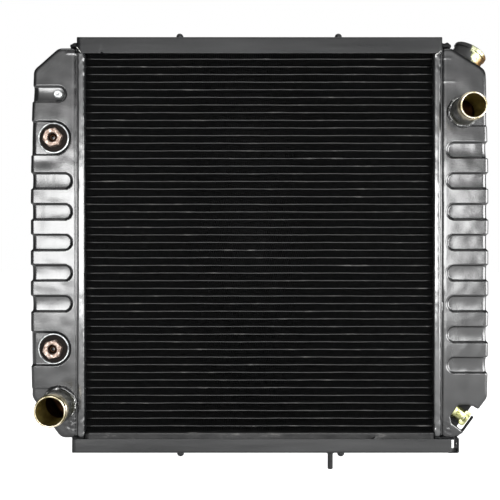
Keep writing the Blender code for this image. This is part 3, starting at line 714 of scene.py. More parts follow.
# Black paint over the soldered rim of a header plate, worn to grey metal.
WORN = (70.0, 6.0, 0.65, (1.0, 1.0, 0.4))
RIM = layered(
    "rim_solder",
    tint=(WORN, (0.40, (0.010, 0.0105, 0.011)), (0.62, (0.022, 0.0225, 0.023)),
          (0.74, (0.10, 0.10, 0.098))),
    rough=((120.0, 4.0, 0.6, (1.0, 1.0, 0.3)), (0.3, 0.14), (0.7, 0.26)),
    metallic=(WORN, (0.62, 0.0), (0.78, 0.6)),
    bumps=[((300.0, 3.0, 0.55, (1.0, 1.0, 0.4)), 0.12, 0.0005)], IOR=2.0)
# Bright runny solder with dull patches and specks of flux.
PATCHES = (190.0, 5.0, 0.6)
SOLDER = layered(
    "solder_joint",
    tint=(PATCHES, (0.28, (0.05, 0.05, 0.048)), (0.45, (0.42, 0.42, 0.40)), (0.75, (0.78, 0.78, 0.76))),
    rough=((260.0, 3.0, 0.6), (0.3, 0.18), (0.7, 0.42)), metallic=(PATCHES, (0.25, 0.2), (0.45, 1.0)),
    bumps=[((700.0, 4.0, 0.6), 0.35, 0.0006)])
# Solder under black paint, bare only where the paint ran off its lumps.
BARE = (210.0, 4.0, 0.6)
FLUX = layered(
    "painted_solder", tint=(BARE, (0.60, (0.006, 0.006, 0.0062)), (0.68, (0.50, 0.50, 0.48))),
    rough=((260.0, 3.0, 0.6), (0.3, 0.18), (0.7, 0.36)), metallic=(BARE, (0.60, 0.0), (0.68, 1.0)),
    bumps=[((500.0, 3.0, 0.6), 0.25, 0.0005)], IOR=1.6)
BRASS = layered("brass", BRASS_TINT, BRASS_ROUGH, [BRASS_LINES], (TARNISH, (0.2, 0.9), (0.4, 1.0)))
NECK_BRASS = neck_brass()
FILLER_BRASS = filler_brass()
# Bright yellow-green brass of the drain cock, with dark stains at random.
COCK_BRASS = layered(
    "cock_brass",
    tint=((170.0, 5.0, 0.62, None, 0.4), (0.34, (0.05, 0.048, 0.010)), (0.46, (0.32, 0.32, 0.13)),
          (0.62, (0.60, 0.61, 0.34)), (0.80, (0.80, 0.81, 0.60))),
    rough=((240.0, 4.0, 0.6), (0.3, 0.26), (0.7, 0.50)), bumps=[((500.0, 3.0), 0.25, 0.0005)], Metallic=1.0)
# The unpolished inside of a neck.
BORE = layered(
    "bore_brass",
    tint=((70.0, 5.0, 0.6, (1.0, 0.4, 1.0)), (0.30, (0.15, 0.10, 0.030)), (0.55, (0.40, 0.31, 0.085)),
          (0.78, (0.64, 0.54, 0.19))),
    rough=((200.0, 4.0, 0.6), (0.3, 0.36), (0.7, 0.60)), Metallic=1.0)
CAVITY = metal("tank_inside", (0.006, 0.003, 0.002), (0.030, 0.013, 0.006), (0.080, 0.035, 0.015),
               0.50, 0.70, 60.0)
FITTING = metal("fitting_brass", (0.05, 0.030, 0.022), (0.28, 0.215, 0.18), (0.74, 0.65, 0.59),
                0.34, 0.60, 280.0)
COPPER = metal("copper", (0.24, 0.10, 0.06), (0.62, 0.33, 0.20), (0.80, 0.50, 0.36), 0.25, 0.50)
STEEL = metal("steel", (0.16, 0.16, 0.17), (0.40, 0.41, 0.41), (0.70, 0.72, 0.71), 0.26, 0.50)
RING = metal("ring_steel", (0.08, 0.08, 0.085), (0.32, 0.33, 0.33), (0.66, 0.68, 0.67), 0.26, 0.50, 160.0)
GRAIN = (400.0, 4.0, 0.6)
RUBBER = layered(
    "rubber", tint=(GRAIN, (0.3, (0.0020, 0.0014, 0.0012)), (0.7, (0.008, 0.005, 0.0035))),
    rough=(GRAIN, (0.3, 0.62), (0.7, 0.85)), bumps=[(GRAIN, 0.3, 0.0004)], IOR=1.22)


# ---------------------------------------------------------------- tanks
def tank_corners(side):
    lower_run, lower_rise = LOWER_CHAMFER
    upper_run, upper_drop = UPPER_CHAMFER[side]
    bottom = TANK_BOTTOM_Z - TANK_FOOT
    foot_run = TANK_FOOT * lower_run / lower_rise
    return [
        (TANK_EDGE_X, bottom),
        (TANK_OUTER_X - LOWER_TAPER - lower_run - foot_run, bottom),
        (TANK_OUTER_X - LOWER_TAPER, TANK_BOTTOM_Z + lower_rise),
        (TANK_OUTER_X, TAPER_BOTTOM_Z),
        (TANK_OUTER_X, TAPER_TOP_Z),
        (TANK_OUTER_X - UPPER_TAPER, TANK_TOP_Z - upper_drop),
        (TANK_OUTER_X - UPPER_TAPER - upper_run, TANK_TOP_Z),
        (TANK_EDGE_X, TANK_TOP_Z),
    ]


def chamfer_frame():
    """Middle of the right tank's lower chamfer, its outward direction and the way up along it."""
    run, rise = LOWER_CHAMFER
    middle = Vector((TANK_OUTER_X - LOWER_TAPER - run / 2, 0, TANK_BOTTOM_Z + rise / 2))
    return middle, Vector((rise, 0, -run)).normalized(), Vector((run, 0, rise)).normalized()


def cock_frame():
    middle, out, up = chamfer_frame()
    return middle + up * COCK_OFFSET + Vector((0, COCK_Y, 0)), out


def filler_frame():
    run, drop = UPPER_CHAMFER["right"]
    middle = Vector((TANK_OUTER_X - UPPER_TAPER - run / 2, 0, TANK_TOP_Z - drop / 2))
    return middle, Vector((drop, 0, run)).normalized()


def bead_depth(out, z, centre_out, centre_z, half, hollow=BEAD_HOLLOW):
    """A pressed bead's depth: a sloping side, gentler at its inner end, then a hollow floor."""
    edge = slot_distance(out, z, centre_out, centre_z, half)
    wall = BEAD_WALL * (1.0 + BEAD_RUN_OUT * smooth_step((centre_out - out) / half))
    side = smooth_step((BEAD_LIP - edge) / wall)
    across = np.clip(1.0 + edge / half, 0.0, 1.0)
    return (BEAD_DEPTH - hollow) * side + hollow * side * (1.0 - across * across)


def press_depth(side, out, y, z):
    """How far the beads and the fittings' pads are pressed in at each place."""
    depth = 0.0
    share = BEAD_SIDE + (1 - BEAD_SIDE) * smooth_step((np.abs(y) - 0.019) / 0.008)
    for i in BEADS[side]:
        bead = bead_depth(out, z, BEAD_CENTRE_X, BEAD_FIRST_Z + i * BEAD_PITCH, BEAD_HALF_HEIGHT)
        depth = np.maximum(depth, share * bead)
    front = smooth_step((-y - 0.018) / 0.006)
    pad_x, pad_z, pad_radius = NECK_PADS[side]
    edge = slot_distance(out, z, pad_x, pad_z, pad_radius)
    depth = np.maximum(depth, NECK_PAD_DEPTH * smooth_step((BEAD_LIP - edge) / 0.0022) * front)
    if side == "left":
        bead = bead_depth(out, z, PLUG_BEAD_CENTRE_X, PLUG_Z, PLUG_BEAD_HALF_HEIGHT, PLUG_BEAD_HOLLOW)
        depth = np.maximum(depth, np.maximum(front, 0.12) * bead)
        for height in COOLER_Z.values():
            edge = slot_distance(out, z, COOLER_X, height, PAD_RADIUS)
            pressed = smooth_step((BEAD_LIP - edge) / PAD_WALL) * front
            depth = np.maximum(depth, PAD_DEPTH * pressed)
    return depth


def chamfer_place(out, z):
    """How far a place is out from the lower chamfer's middle, and up along the chamfer."""
    middle, way_out, way_up = chamfer_frame()
    along = (out - middle.x) * way_out.x + (z - middle.z) * way_out.z
    across = (out - middle.x) * way_up.x + (z - middle.z) * way_up.z
    return along, across


def pocket_field(out, y, z):
    """The drain cock's pocket in the right tank's lower corner."""
    walls = inside_planes(outline_planes(POCKET), *chamfer_place(out, z), 0.004)
    return smooth_max(walls, y - POCKET_FLOOR_Y, 0.003)


def pocket_rim(out, y, z):
    """The narrow strip of the front face left standing along the chamfer, outside the pocket."""
    along, across = chamfer_place(out, z)
    strip = smooth_max(np.abs(along - RIM_ALONG) - RIM_HALF_WIDTH,
                       np.abs(y - RIM_Y) - RIM_HALF_DEPTH, 0.0012)
    return smooth_max(strip, np.abs(across - RIM_ACROSS) - RIM_HALF_LENGTH, 0.002)


def dressings(side, out, y, z):
    """The short creases beside the seam, and the shallow dents, left from making the tank."""
    front = smooth_step((-y - 0.020) / 0.005)
    rise = 0.0
    for z_at, end, height, width in CREASES[side]:
        along = smooth_step((end - out) / 0.006)
        rise = rise + height * along * np.exp(-((z - z_at) / width) ** 2)
    for out_at, z_at, width, tall, depth in DENTS[side]:
        rise = rise - depth * np.exp(-((out - out_at) / width) ** 2 - ((z - z_at) / tall) ** 2)
    return rise * front


def tank_skin(side):
    """The tank's outer shape, without its cavities."""
    turn = TURN[side]
    planes = outline_planes(tank_corners(side))
    coarse = lumps(0.0065, 15 + SEED[side], 16)
    patch_x, patch_z, patch_width, patch_height = ROUGH_PATCHES[side]
    wave = lumps(0.085, 11 + SEED[side])
    ripple = lumps(0.024, 13 + SEED[side])

    def outer(x, y, z):
        out = turn * x
        shape = inside_planes(planes[:-1], out, z, TANK_OUTLINE_BLEND)
        shape = smooth_max(shape, np.abs(y) - TANK_HALF_DEPTH, TANK_EDGE_BLEND)
        shape = smooth_max(shape, TANK_SEAM_X + HEADER_SHIFT[side] - out, TANK_SEAM_BLEND)
        shape = shape + press_depth(side, out, y, z)
        shape = shape + 0.00020 + 0.00014 * wave(x, y, z) + 0.00007 * ripple(x, y, z)
        shape = shape - dressings(side, out, y, z)
        patch = np.exp(-((out - patch_x) / patch_width) ** 2 - ((z - patch_z) / patch_height) ** 2)
        shape = shape + 0.00022 * patch * coarse(x, y, z)
        if side == "right":
            shape = smooth_max(shape, -pocket_field(out, y, z), 0.0030)
            shape = smooth_min(shape, pocket_rim(out, y, z), 0.0015)
        return shape

    return outer


def tank_field(side, outer):
    """The tank as built: its skin, hollowed behind the necks, and the tongue inside the header."""
    turn = TURN[side]

    def field(x, y, z):
        out = turn * x
        skin = outer(x, y, z)
        hollow = 1.0
        for neck_x, neck_z, radius, of_side, _ in NECKS.values():
            if of_side == side:
                around = np.hypot(x - neck_x, z - neck_z)
                room = np.maximum(np.abs(z - neck_z) - NECK_ROOM, skin + TANK_WALL)
                bore = np.maximum(around - radius + NECK_WALL, y)
                hollow = np.minimum(hollow, np.minimum(room, bore))
        if side == "right":
            origin, axis = filler_frame()
            around, along = axis_distance(x, y, z, origin, axis)
            room = np.maximum(around - FILLER_ROOM, skin + TANK_WALL)
            bore = np.maximum(around - FILLER_BORE, -along - FILLER_BORE_DEPTH)
            hollow = np.minimum(hollow, np.minimum(room, bore))
        tongue = np.maximum(np.abs(out - TANK_EDGE_X - HEADER_SHIFT[side]) - TONGUE_HALF_WIDTH,
                            np.abs(y) - HEADER_HALF_DEPTH + 0.0026)
        tongue = np.maximum(tongue, np.abs(z - (TANK_BOTTOM_Z + TANK_TOP_Z) / 2)
                            - (TANK_TOP_Z - TANK_BOTTOM_Z) / 2 + 0.0024)
        return np.minimum(np.maximum(skin, -hollow), tongue)

    return field


def tank(side):
    margin = 2 * TANK_STEP
    x = (TURN[side] * TONGUE_X, TURN[side] * (TANK_OUTER_X + margin))
    y = (-TANK_HALF_DEPTH - margin, TANK_HALF_DEPTH + margin)
    z = (TANK_BOTTOM_Z - TANK_FOOT - margin, TANK_TOP_Z + margin)
    skin = tank_skin(side)
    obj = field_piece(f"{side}_tank_pressing", tank_field(side, skin), x, y, z, TANK_STEP, PAINT,
                      "black_paint", stands_for=[f"{side}_tank"])
    mesh = obj.data
    mesh.materials.append(CAVITY)
    mesh.materials.append(CORE)
    centres = np.array([face.center for face in mesh.polygons])
    across = np.abs(centres[:, 0])
    cavity = (skin(*centres.T) < -CAVITY_DEPTH) & (across > TANK_SEAM_X + TANK_SEAM_BLEND)
    # Faces in the groove along the seam, and on the drain pocket's walls, get the matt black: painted
    # shade.
    painted_shade = across < TANK_SEAM_X + HEADER_SHIFT[side] + 0.0002
    if side == "right":
        painted_shade |= pocket_field(across, centres[:, 1], centres[:, 2]) < 0.0006
    mesh.polygons.foreach_set("material_index", (cavity * 1 + painted_shade * 2).astype(np.int32))


def header_rim(side):
    """The header plate's rim: a soft-edged band, uneven with solder, most of it at the ends."""
    turn = TURN[side]
    low_z, high_z = TANK_BOTTOM_Z - TANK_FOOT + HEADER_MARGIN, TANK_TOP_Z - HEADER_MARGIN
    middle, half = (low_z + high_z) / 2, (high_z - low_z) / 2
    broad = lumps(0.030, 21 + SEED[side])
    small = lumps(0.009, 23 + SEED[side])

    def field(x, y, z):
        out = turn * x - HEADER_SHIFT[side]
        bend = smooth_max(out - HEADER_FOLD_X, np.zeros_like(out), 0.0020)
        face = np.abs(y) - HEADER_HALF_DEPTH + HEADER_FOLD_SLOPE * bend
        edge = smooth_max(face, np.abs(z - middle) - half, 0.0060)
        core_side = smooth_max(edge, HEADER_X - out, 0.0040)
        shape = smooth_max(core_side, out - TANK_EDGE_X + GAP, 0.0022)
        near_end = smooth_step((np.abs(z - middle) - half + 0.060) / 0.060)
        rise = 0.00009 * broad(x, y, z) + (0.00002 + 0.00016 * near_end) * small(x, y, z)
        return shape + 0.00025 + rise

    room = 2 * HEADER_STEP + HEADER_SHIFT[side]
    x = (turn * (HEADER_X - room), turn * (TANK_EDGE_X + room))
    margin = 2 * HEADER_STEP
    y = (-HEADER_HALF_DEPTH - margin, HEADER_HALF_DEPTH + margin)
    field_piece(f"{side}_header_rim", field, x, y, (low_z - margin, high_z + margin), HEADER_STEP, RIM,
                "solder", stands_for=[f"{side}_header_plate"])


# ---------------------------------------------------------------- core
def tubes():
    """The flat water tubes, each a rounded strip with slight dents along its edges."""
    radius = TUBE_THICKNESS / 2
    flat = TUBE_DEPTH / 2 - radius
    section = []
    for centre, start in ((flat, -90), (-flat, 90)):
        for k in range(7):
            angle = math.radians(start + 30 * k)
            section.append((centre + radius * math.cos(angle), radius * math.sin(angle)))
    stations = np.linspace(-TUBE_END_X, TUBE_END_X, 40)
    random = np.random.default_rng(41)
    bm = bmesh.new()
    for i in range(TUBE_COUNT):
        height = TUBE_FIRST_Z + i * TUBE_PITCH
        phase = random.uniform(0, 2 * math.pi, 3)

        def place(x, y, z):
            inside = 1.0 if abs(x) < TUBE_END_X else 0.0
            sag = inside * 0.00012 * (math.sin(x * 31 + phase[0]) + math.sin(x * 77 + phase[1]))
            thin = 1.0 - inside * 0.06 * (1 + math.sin(x * 140 + phase[2]))
            return (x, y, height + sag + z * thin)

        sweep(bm, section, stations, place)
    bmesh.ops.recalc_face_normals(bm, faces=bm.faces)
    mesh = mesh_of(bm, "water_tubes")
    weighted(piece("water_tubes", mesh, TUBE, "core_paint", stands_for=["tube_bank"]))


def fin_gaps():
    """The lowest and highest point of every row of fins."""
    tops = [TUBE_FIRST_Z + i * TUBE_PITCH + TUBE_THICKNESS / 2 for i in range(TUBE_COUNT)]
    bottoms = [top - TUBE_THICKNESS for top in tops]
    return list(zip([CORE_BOTTOM_Z] + tops, bottoms + [CORE_TOP_Z]))


def fin_strips(name, rows, seed):
    """Corrugated strips of thin sheet, one in each gap between the tubes."""
    random = np.random.default_rng(seed)
    count = FIN_WAVES * FIN_POINTS + 1
    reach = HEADER_X + 0.0015
    points, faces = [], []
    for low, high in rows:
        turns = np.linspace(0, FIN_WAVES, count)
        drift = 0.10 * np.sin(turns * random.uniform(0.05, 0.2) + random.uniform(0, 6))
        drift += 0.04 * random.normal(size=count)
        x = np.linspace(-reach, reach, count)
        phase = random.uniform(0, 2 * math.pi)
        wave = np.clip(1.25 * np.sin(2 * math.pi * (turns + drift) + phase), -1, 1)
        half = (high - low) / 2 - FIN_THICKNESS
        z = (low + high) / 2 + half * wave
        slope = np.stack([np.gradient(x), np.gradient(z)])
        slope /= np.linalg.norm(slope, axis=0)
        lift_x, lift_z = -slope[1] * FIN_THICKNESS / 2, slope[0] * FIN_THICKNESS / 2
        first = len(points) * count
        front = np.full(count, -CORE_HALF_DEPTH)
        for px, py, pz in ((x + lift_x, front, z + lift_z), (x - lift_x, front, z - lift_z),
                           (x - lift_x, -front, z - lift_z), (x + lift_x, -front, z + lift_z)):
            points.append(np.stack([px, py, pz], axis=1))
        index = first + np.arange(4)[:, None] * count + np.arange(count)[None, :]
        for a, b in ((0, 1), (1, 2), (2, 3), (3, 0)):
            faces.append(np.stack([index[a, :-1], index[b, :-1], index[b, 1:], index[a, 1:]], axis=1))
        faces.append(index[::-1, 0][None, :])
        faces.append(index[:, -1][None, :])
    mesh = mesh_from(name, np.concatenate(points), np.concatenate(faces))
    piece(name, mesh, CORE, "core_paint", stands_for=["fin_pack"])
    mesh.polygons.foreach_set("use_smooth", [False] * len(mesh.polygons))


def core():
    tubes()
    rows = fin_gaps()
    middle = len(rows) // 2
    fin_strips("lower_fin_strips", rows[:middle], 42)
    fin_strips("upper_fin_strips", rows[middle:], 43)
    reach = HEADER_X + 0.0016
    # A matt black sheet through the middle of the core, which the real radiator does not have: painted
    # shade that stops the white backdrop showing between the fins.
    shadow_sheet = box_mesh("core_shadow_sheet", (-reach, -0.0008, CORE_BOTTOM_Z + 0.0004),
                      (reach, 0.0008, CORE_TOP_Z - 0.0004))
    piece("core_shadow_sheet", shadow_sheet, CORE, "core_paint")


# ---------------------------------------------------------------- channels
def channel_section(web, flange, half_depth, wall, bend):
    """A folded sheet's U section as (y, z), with its bends rounded."""
    inward = wall if flange > web else -wall
    points = [(-half_depth, flange), (-half_depth, web), (half_depth, web), (half_depth, flange),
              (half_depth - wall, flange), (half_depth - wall, web + inward),
              (-half_depth + wall, web + inward), (-half_depth + wall, flange)]
    inner = max(bend - wall, 0.0004)
    edge = wall * 0.28
    return rounded(points, [edge, bend, bend, edge, edge, inner, inner, edge], 4)


def sheet_channel(name, ends, web, flange, half_depth, wall, seed, bend=0.0028):
    """A folded channel along X, very slightly wavy as thin sheet is."""
    section = channel_section(web, flange, half_depth - 0.00012, wall, bend)
    wave = lumps(0.13, seed, 6)
    stations = np.linspace(ends[0], ends[1], 90)
    height = abs(flange - web)

    def place(x, y, z):
        free = abs(z - web) / height
        shift = 0.00022 * float(wave(x, 0.2 * y, 0.0)) * free
        return (x, y + shift * np.sign(y) - 0.00012 * free * np.sign(y), z)

    return swept_mesh(name, section, stations, place)


def relief(mesh, x, z, lean):
    blade = box_mesh("blade", (-RELIEF_WIDTH / 2, -0.06, -0.009), (RELIEF_WIDTH / 2, 0.06, 0.009))
    place = Matrix.Translation((x, 0, z)) @ Matrix.Rotation(lean, 4, "Y")
    return combine(mesh, blade, place=place)


def end_plates():
    ends = (-END_PLATE_HALF_LENGTH, END_PLATE_HALF_LENGTH)
    half_depth = CHANNEL_HALF_DEPTH - CHANNEL_WALL - GAP
    top = CORE_BOTTOM_Z - GAP
    lower = sheet_channel("lower_end_trough", ends, top, top - END_PLATE_DROP, half_depth,
                          END_PLATE_WALL, 51, 0.0022)
    lower = relief(lower, RELIEF_X, top - RELIEF_RISE, RELIEF_LEAN)
    weighted(piece("lower_end_trough", lower, TUBE, "black_paint", stands_for=["lower_end_plate"]))
    bottom = CORE_TOP_Z + GAP
    upper = sheet_channel("upper_end_trough", ends, bottom, bottom + END_PLATE_DROP - 0.003, half_depth,
                          END_PLATE_WALL, 52, 0.0022)
    upper = relief(upper, -RELIEF_X, bottom + RELIEF_RISE, -RELIEF_LEAN)
    weighted(piece("upper_end_trough", upper, CHANNEL_PAINT, "black_paint", stands_for=["upper_end_plate"]))


def channels():
    half = UPPER_CHANNEL_HALF_LENGTH
    edge = OVERALL_HEIGHT - CHANNEL_HEIGHT["upper"]
    upper = sheet_channel("upper_support", (-half, half), OVERALL_HEIGHT, edge, CHANNEL_HALF_DEPTH,
                          CHANNEL_WALL, 53)
    notch = box_mesh("notch", (NOTCH_X[0], -0.06, edge - 0.01), (NOTCH_X[1], NOTCH_BACK, edge + NOTCH_RISE))
    upper = combine(upper, notch)
    weighted(piece("upper_support", upper, CHANNEL_PAINT, "black_paint", stands_for=["upper_channel"]))

    lower = sheet_channel("lower_support", LOWER_CHANNEL_ENDS, 0.0, CHANNEL_HEIGHT["lower"],
                          CHANNEL_HALF_DEPTH, CHANNEL_WALL, 54)
    lower = combine(lower, tab_mesh(), "UNION")
    weighted(piece("lower_support", lower, LOWER_PAINT, "black_paint", stands_for=["lower_channel"]))


def tab_mesh():
    """The drilled tab that folds up from the lower channel's right end."""
    wall = CHANNEL_WALL
    start = LOWER_CHANNEL_ENDS[1] - 0.004
    points = [(start, 0.0), (END_TAB_X, 0.0), (END_TAB_X, END_TAB_TOP), (END_TAB_X - wall, END_TAB_TOP),
              (END_TAB_X - wall, wall), (start, wall)]
    section = rounded(points, [0.0, 0.0030, 0.0005, 0.0005, 0.0015, 0.0], 4)
    stations = np.linspace(-CHANNEL_HALF_DEPTH + 0.0002, END_TAB_BACK, 8)
    mesh = swept_mesh("tab", section, stations, lambda y, x, z: (x, y, z))
    hole = turned_mesh("hole", [(0.0, -0.01), (0.0030, -0.01), (0.0030, 0.01), (0.0, 0.01)],
                       (END_TAB_X, -0.0200, 0.0115), (1, 0, 0), 32)
    return combine(mesh, hole)


def fasteners():
    for name, (x, up) in RIVETS.items():
        z = OVERALL_HEIGHT if up > 0 else 0.0
        head, height, web = 0.0052, 0.0065, CHANNEL_WALL
        dome = [(head * math.cos(a), 0.0015 + (height - 0.0015) * math.sin(a))
                for a in np.linspace(math.pi / 2, 0, 9)]
        dome[0] = (0.0, height)
        points = dome + [(head, 0.0001), (0.0030, 0.0001), (0.0030, -web - GAP), (0.0046, -web - GAP),
                         (0.0044, -web - 0.0018), (0.0, -web - 0.0019)]
        turned_piece(name + "_head", points, 0.0004, (x, RIVET_Y, z), (0, 0, up), 40, CHANNEL_PAINT,
                     "black_paint", segments=2, stands_for=[name])
    web = CHANNEL_WALL + GAP
    points = [(0.0, PIN_LENGTH), (PIN_RADIUS - 0.001, PIN_LENGTH), (PIN_RADIUS, PIN_LENGTH - 0.001),
              (PIN_RADIUS, 0.0038), (0.0066, 0.0002), (PIN_RADIUS, 0.0002), (PIN_RADIUS, -web),
              (0.0055, -web), (0.0055, -web - 0.002), (0.0, -web - 0.002)]
    turned_piece("lower_locating_pin", points, 0.0004, (PIN_X, PIN_Y, 0), (0, 0, -1), 48, CHANNEL_PAINT,
                 "black_paint", stands_for=["locating_pin"])


def gusset(side):
    """The small brace at the end of the upper channel, thick with paint and solder."""
    turn = TURN[side]
    near, far = UPPER_CHANNEL_HALF_LENGTH + GAP, UPPER_CHANNEL_HALF_LENGTH + GUSSET_REACH[side]
    low = TANK_TOP_Z + 0.0001
    planes = outline_planes([(near, low), (far, low), (far, low + 0.0040), (far - 0.0050, low + 0.0068),
                             (near, low + 0.0068)])
    rough = lumps(0.006, 61 + SEED[side])

    def field(x, y, z):
        shape = inside_planes(planes, turn * x, z, 0.0008)
        shape = smooth_max(shape, np.abs(y) - BRACE_HALF_DEPTH, 0.003)
        return shape + 0.00020 + 0.00022 * rough(x, y, z)

    x = (turn * (near - 0.002), turn * (far + 0.002))
    field_piece(f"upper_{side}_brace", field, x, BRACE_ROOM_Y, (low - 0.002, low + 0.010), 0.0006, CORE,
                "black_paint", stands_for=[f"upper_{side}_gusset"])


def foot_solder(side):
    """Black-painted solder in the corner between a tank's foot and the lower channel."""
    turn = TURN[side]
    near, far = FOOT_SOLDER[side]
    rough = lumps(0.0070, 91 + SEED[side])

    def field(x, y, z):
        shape = smooth_max(np.abs(turn * x - (near + far) / 2) - (far - near) / 2,
                           np.abs(z - 0.0205) - 0.0026, 0.0030)
        shape = smooth_max(shape, np.abs(y) - BRACE_HALF_DEPTH, 0.0030)
        return shape + 0.00030 + 0.00040 * rough(x, y, z)

    x = (turn * (near - 0.002), turn * (far + 0.002))
    field_piece(f"{side}_foot_solder", field, x, BRACE_ROOM_Y, (0.015, 0.026), 0.0010, CORE, "solder")


def solder_run(name, points, y, radius, seed):
    """A short lumpy run of bare solder along points given as (x, z)."""
    rough = lumps(0.0035, seed, 10)

    def field(px, py, pz):
        nearest = 1.0
        for (x0, z0), (x1, z1) in zip(points, points[1:]):
            dx, dz = x1 - x0, z1 - z0
            share = np.clip(((px - x0) * dx + (pz - z0) * dz) / (dx * dx + dz * dz), 0, 1)
            away = np.hypot(px - x0 - share * dx, pz - z0 - share * dz)
            nearest = np.minimum(nearest, np.hypot(away, (py - y) * 0.45))
        return nearest - radius * (1.0 + 0.22 * rough(px, py, pz))

    xs, zs = zip(*points)
    room = 3 * radius
    field_piece(name, field, (min(xs) - room, max(xs) + room), (y - 1.8 * room, y + 1.8 * room),
                (min(zs) - room, max(zs) + room), 0.0003, SOLDER, "solder")


# ---------------------------------------------------------------- necks
def hose_neck(name):
    x, z, radius, _, seed = NECKS[name]
    bore = radius - NECK_WALL
    foot = TANK_HALF_DEPTH + 0.0001
    mouth = TANK_HALF_DEPTH + NECK_LENGTH
    swell = [(radius + 0.0009 * math.sin(a) ** 2, mouth - 0.0040 - 0.0030 * a / math.pi)
             for a in np.linspace(0, math.pi, 9)]
    outside = [(bore, mouth - 0.0050), (radius - 0.0027, mouth - 0.0022), (radius - 0.0025, mouth),
               (radius - 0.0003, mouth)] + swell
    outside += [(radius, foot + 0.0030), (radius + 0.0026, foot + 0.0012), (radius + 0.0026, foot),
                (radius, foot), (radius, TANK_HALF_DEPTH - 0.0060), (bore, TANK_HALF_DEPTH - 0.0060)]
    obj = turned_piece(name + "_tube", outside, 0.0006, (x, 0, z), (0, -1, 0), 96, NECK_BRASS, "brass",
                       stands_for=[name])
    obj.data.materials.append(BORE)
    for face in obj.data.polygons:
        middle = face.center
        if math.hypot(middle.x - x, middle.z - z) < bore + 0.0003 and -middle.y < mouth - 0.0022:
            face.material_index = 1
    neck_solder(name, x, z, radius, seed)
    for number, (start, end, size) in enumerate(NECK_ARCS[name]):
        angles = np.radians(np.linspace(start, end, 6))
        reach = radius + 0.0022
        points = [(x + reach * math.cos(a), z + reach * math.sin(a)) for a in angles]
        solder_run(f"{name}_bright_{number}", points, -TANK_HALF_DEPTH - 0.0020, size, seed + number)


def neck_solder(name, x, z, radius, seed):
    """The fillet of solder round a neck's foot, thicker in places."""
    rough = lumps(0.0075, seed, 16)
    slow = lumps(0.035, seed + 10, 8)
    face = -TANK_HALF_DEPTH + 0.0006

    def field(px, py, pz):
        around = np.hypot(px - x, pz - z) - radius
        height = face - py
        size = 0.0034 + 0.0010 * slow(px, 0.0, pz) + 0.00035 * rough(px, py, pz)
        ring = np.hypot(around - 0.0010, height * 1.15) - size * 0.9
        bored = -(around + 0.0006)
        return np.maximum(ring, bored)

    reach = radius + 0.010
    y = (-TANK_HALF_DEPTH - 0.008, -TANK_HALF_DEPTH + 0.006)
    field_piece(name + "_solder", field, (x - reach, x + reach), y, (z - reach, z + reach), 0.0007, FLUX,
                "solder")


def filler():
    """The filler neck with its two cam notches, and the overflow tube behind it."""
    origin, axis = filler_frame()
    top, rim = FILLER_HEIGHT, FILLER_RADIUS
    points = [(0.0210, top), (rim - 0.0010, top), (rim, top - 0.0012), (rim, top - 0.0058),
              (0.0238, top - 0.0062), (0.0238, 0.0024), (0.0252, 0.0001), (0.0194, 0.0001),
              (0.0194, -0.0040), (0.0150, -0.0040), (0.0150, -0.0028), (0.0180, -0.0028),
              (0.0180, 0.0030), (0.0155, 0.0030), (0.0155, 0.0042), (0.0210, 0.0042)]
    cam = 0.0026

    def shape(radius, height, angle):
        turn = (2 * angle + math.radians(40)) % (2 * math.pi)
        dip = smooth_step((math.cos(turn) - 0.80) / 0.12)
        if height > top - 0.0075 and radius > 0.0235:
            height = height + float(dip) * cam * (0.0 if height > top - 0.0030 else 1.0)
        return radius, height

    obj = turned_piece("filler_neck_rim", points, 0.0006, origin, axis, 128, FILLER_BRASS, "brass", shape,
                       stands_for=["filler_neck"])
    obj.data.materials.append(BORE)
    for face in obj.data.polygons:
        away = face.center - origin
        height = away.dot(axis)
        if (away - axis * height).length < 0.0212 and height < top - 0.0012:
            face.material_index = 1
    tube = [(0.0024, 0.0460), (0.0034, 0.0460), (0.0034, 0.0435), (0.0040, 0.0425), (0.0034, 0.0410),
            (0.0034, 0.0222), (0.0024, 0.0222)]
    turned_piece("overflow_spout", tube, 0.0003, origin + axis * 0.0100, (0, 1, 0), 48, BRASS, "brass",
                 stands_for=["overflow_tube"])


# ---------------------------------------------------------------- cooler fittings
def hex_radius(angle, across_flats):
    """Distance from the middle of a hexagon to its side at an angle."""
    turn = (angle + math.pi / 6) % (math.pi / 3) - math.pi / 6
    return across_flats / 2 / math.cos(turn)


def cooler_fitting(place):
    z = COOLER_Z[place]
    origin, forward = (-COOLER_X, 0, z), (0, -1, 0)
    floor = TANK_HALF_DEPTH - PAD_DEPTH
    washer_top = floor + GAP + 0.0030
    head, port, bore = 0.0250, 0.0066, 0.0048
    lean = math.radians(17)
    face = washer_top + GAP + 0.0085
    port_floor = face - 0.0110
    foot = washer_top - 0.0012
    corner = head / 2 / math.cos(math.pi / 6)
    outline = [(bore, port_floor), (port, port_floor), (port, face - 0.0012),
               (port + 0.0010, face - 0.0002), (port + 0.0016, face), (head / 2 - 0.0006, face),
               (head / 2, face - 0.0004), (corner, face - 0.0014), (corner, foot), (0.0090, foot),
               (0.0090, 0.0168), (bore, 0.0168)]

    def shape(radius, height, angle):
        limit = hex_radius(angle + lean, head)
        if height > 0.0200 and radius > limit:
            return limit, height
        return radius, height

    turned_piece(f"{place}_cooler_port", outline, 0.0004, origin, forward, 96, FITTING, "brass", shape, 2,
                 stands_for=[f"{place}_cooler_fitting"])
    low = washer_top - 0.0016
    lip = [(0.0197, floor + 0.0002), (0.0227, floor + 0.0002), (0.0227, low),
           (0.0220, washer_top - 0.0002), (0.0207, washer_top - 0.0002), (0.0197, low)]
    turned_piece(f"{place}_cooler_ring", lip, 0.0003, origin, forward, 96, RING, "steel",
                 stands_for=[f"{place}_cooler_washer"])
    gasket = [(0.0092, floor + 0.0003), (0.0198, floor + 0.0003), (0.0198, washer_top - 0.0019),
              (0.0092, washer_top - 0.0013)]
    turned_piece(f"{place}_cooler_gasket", gasket, 0.0003, origin, forward, 96, RUBBER, "rubber")


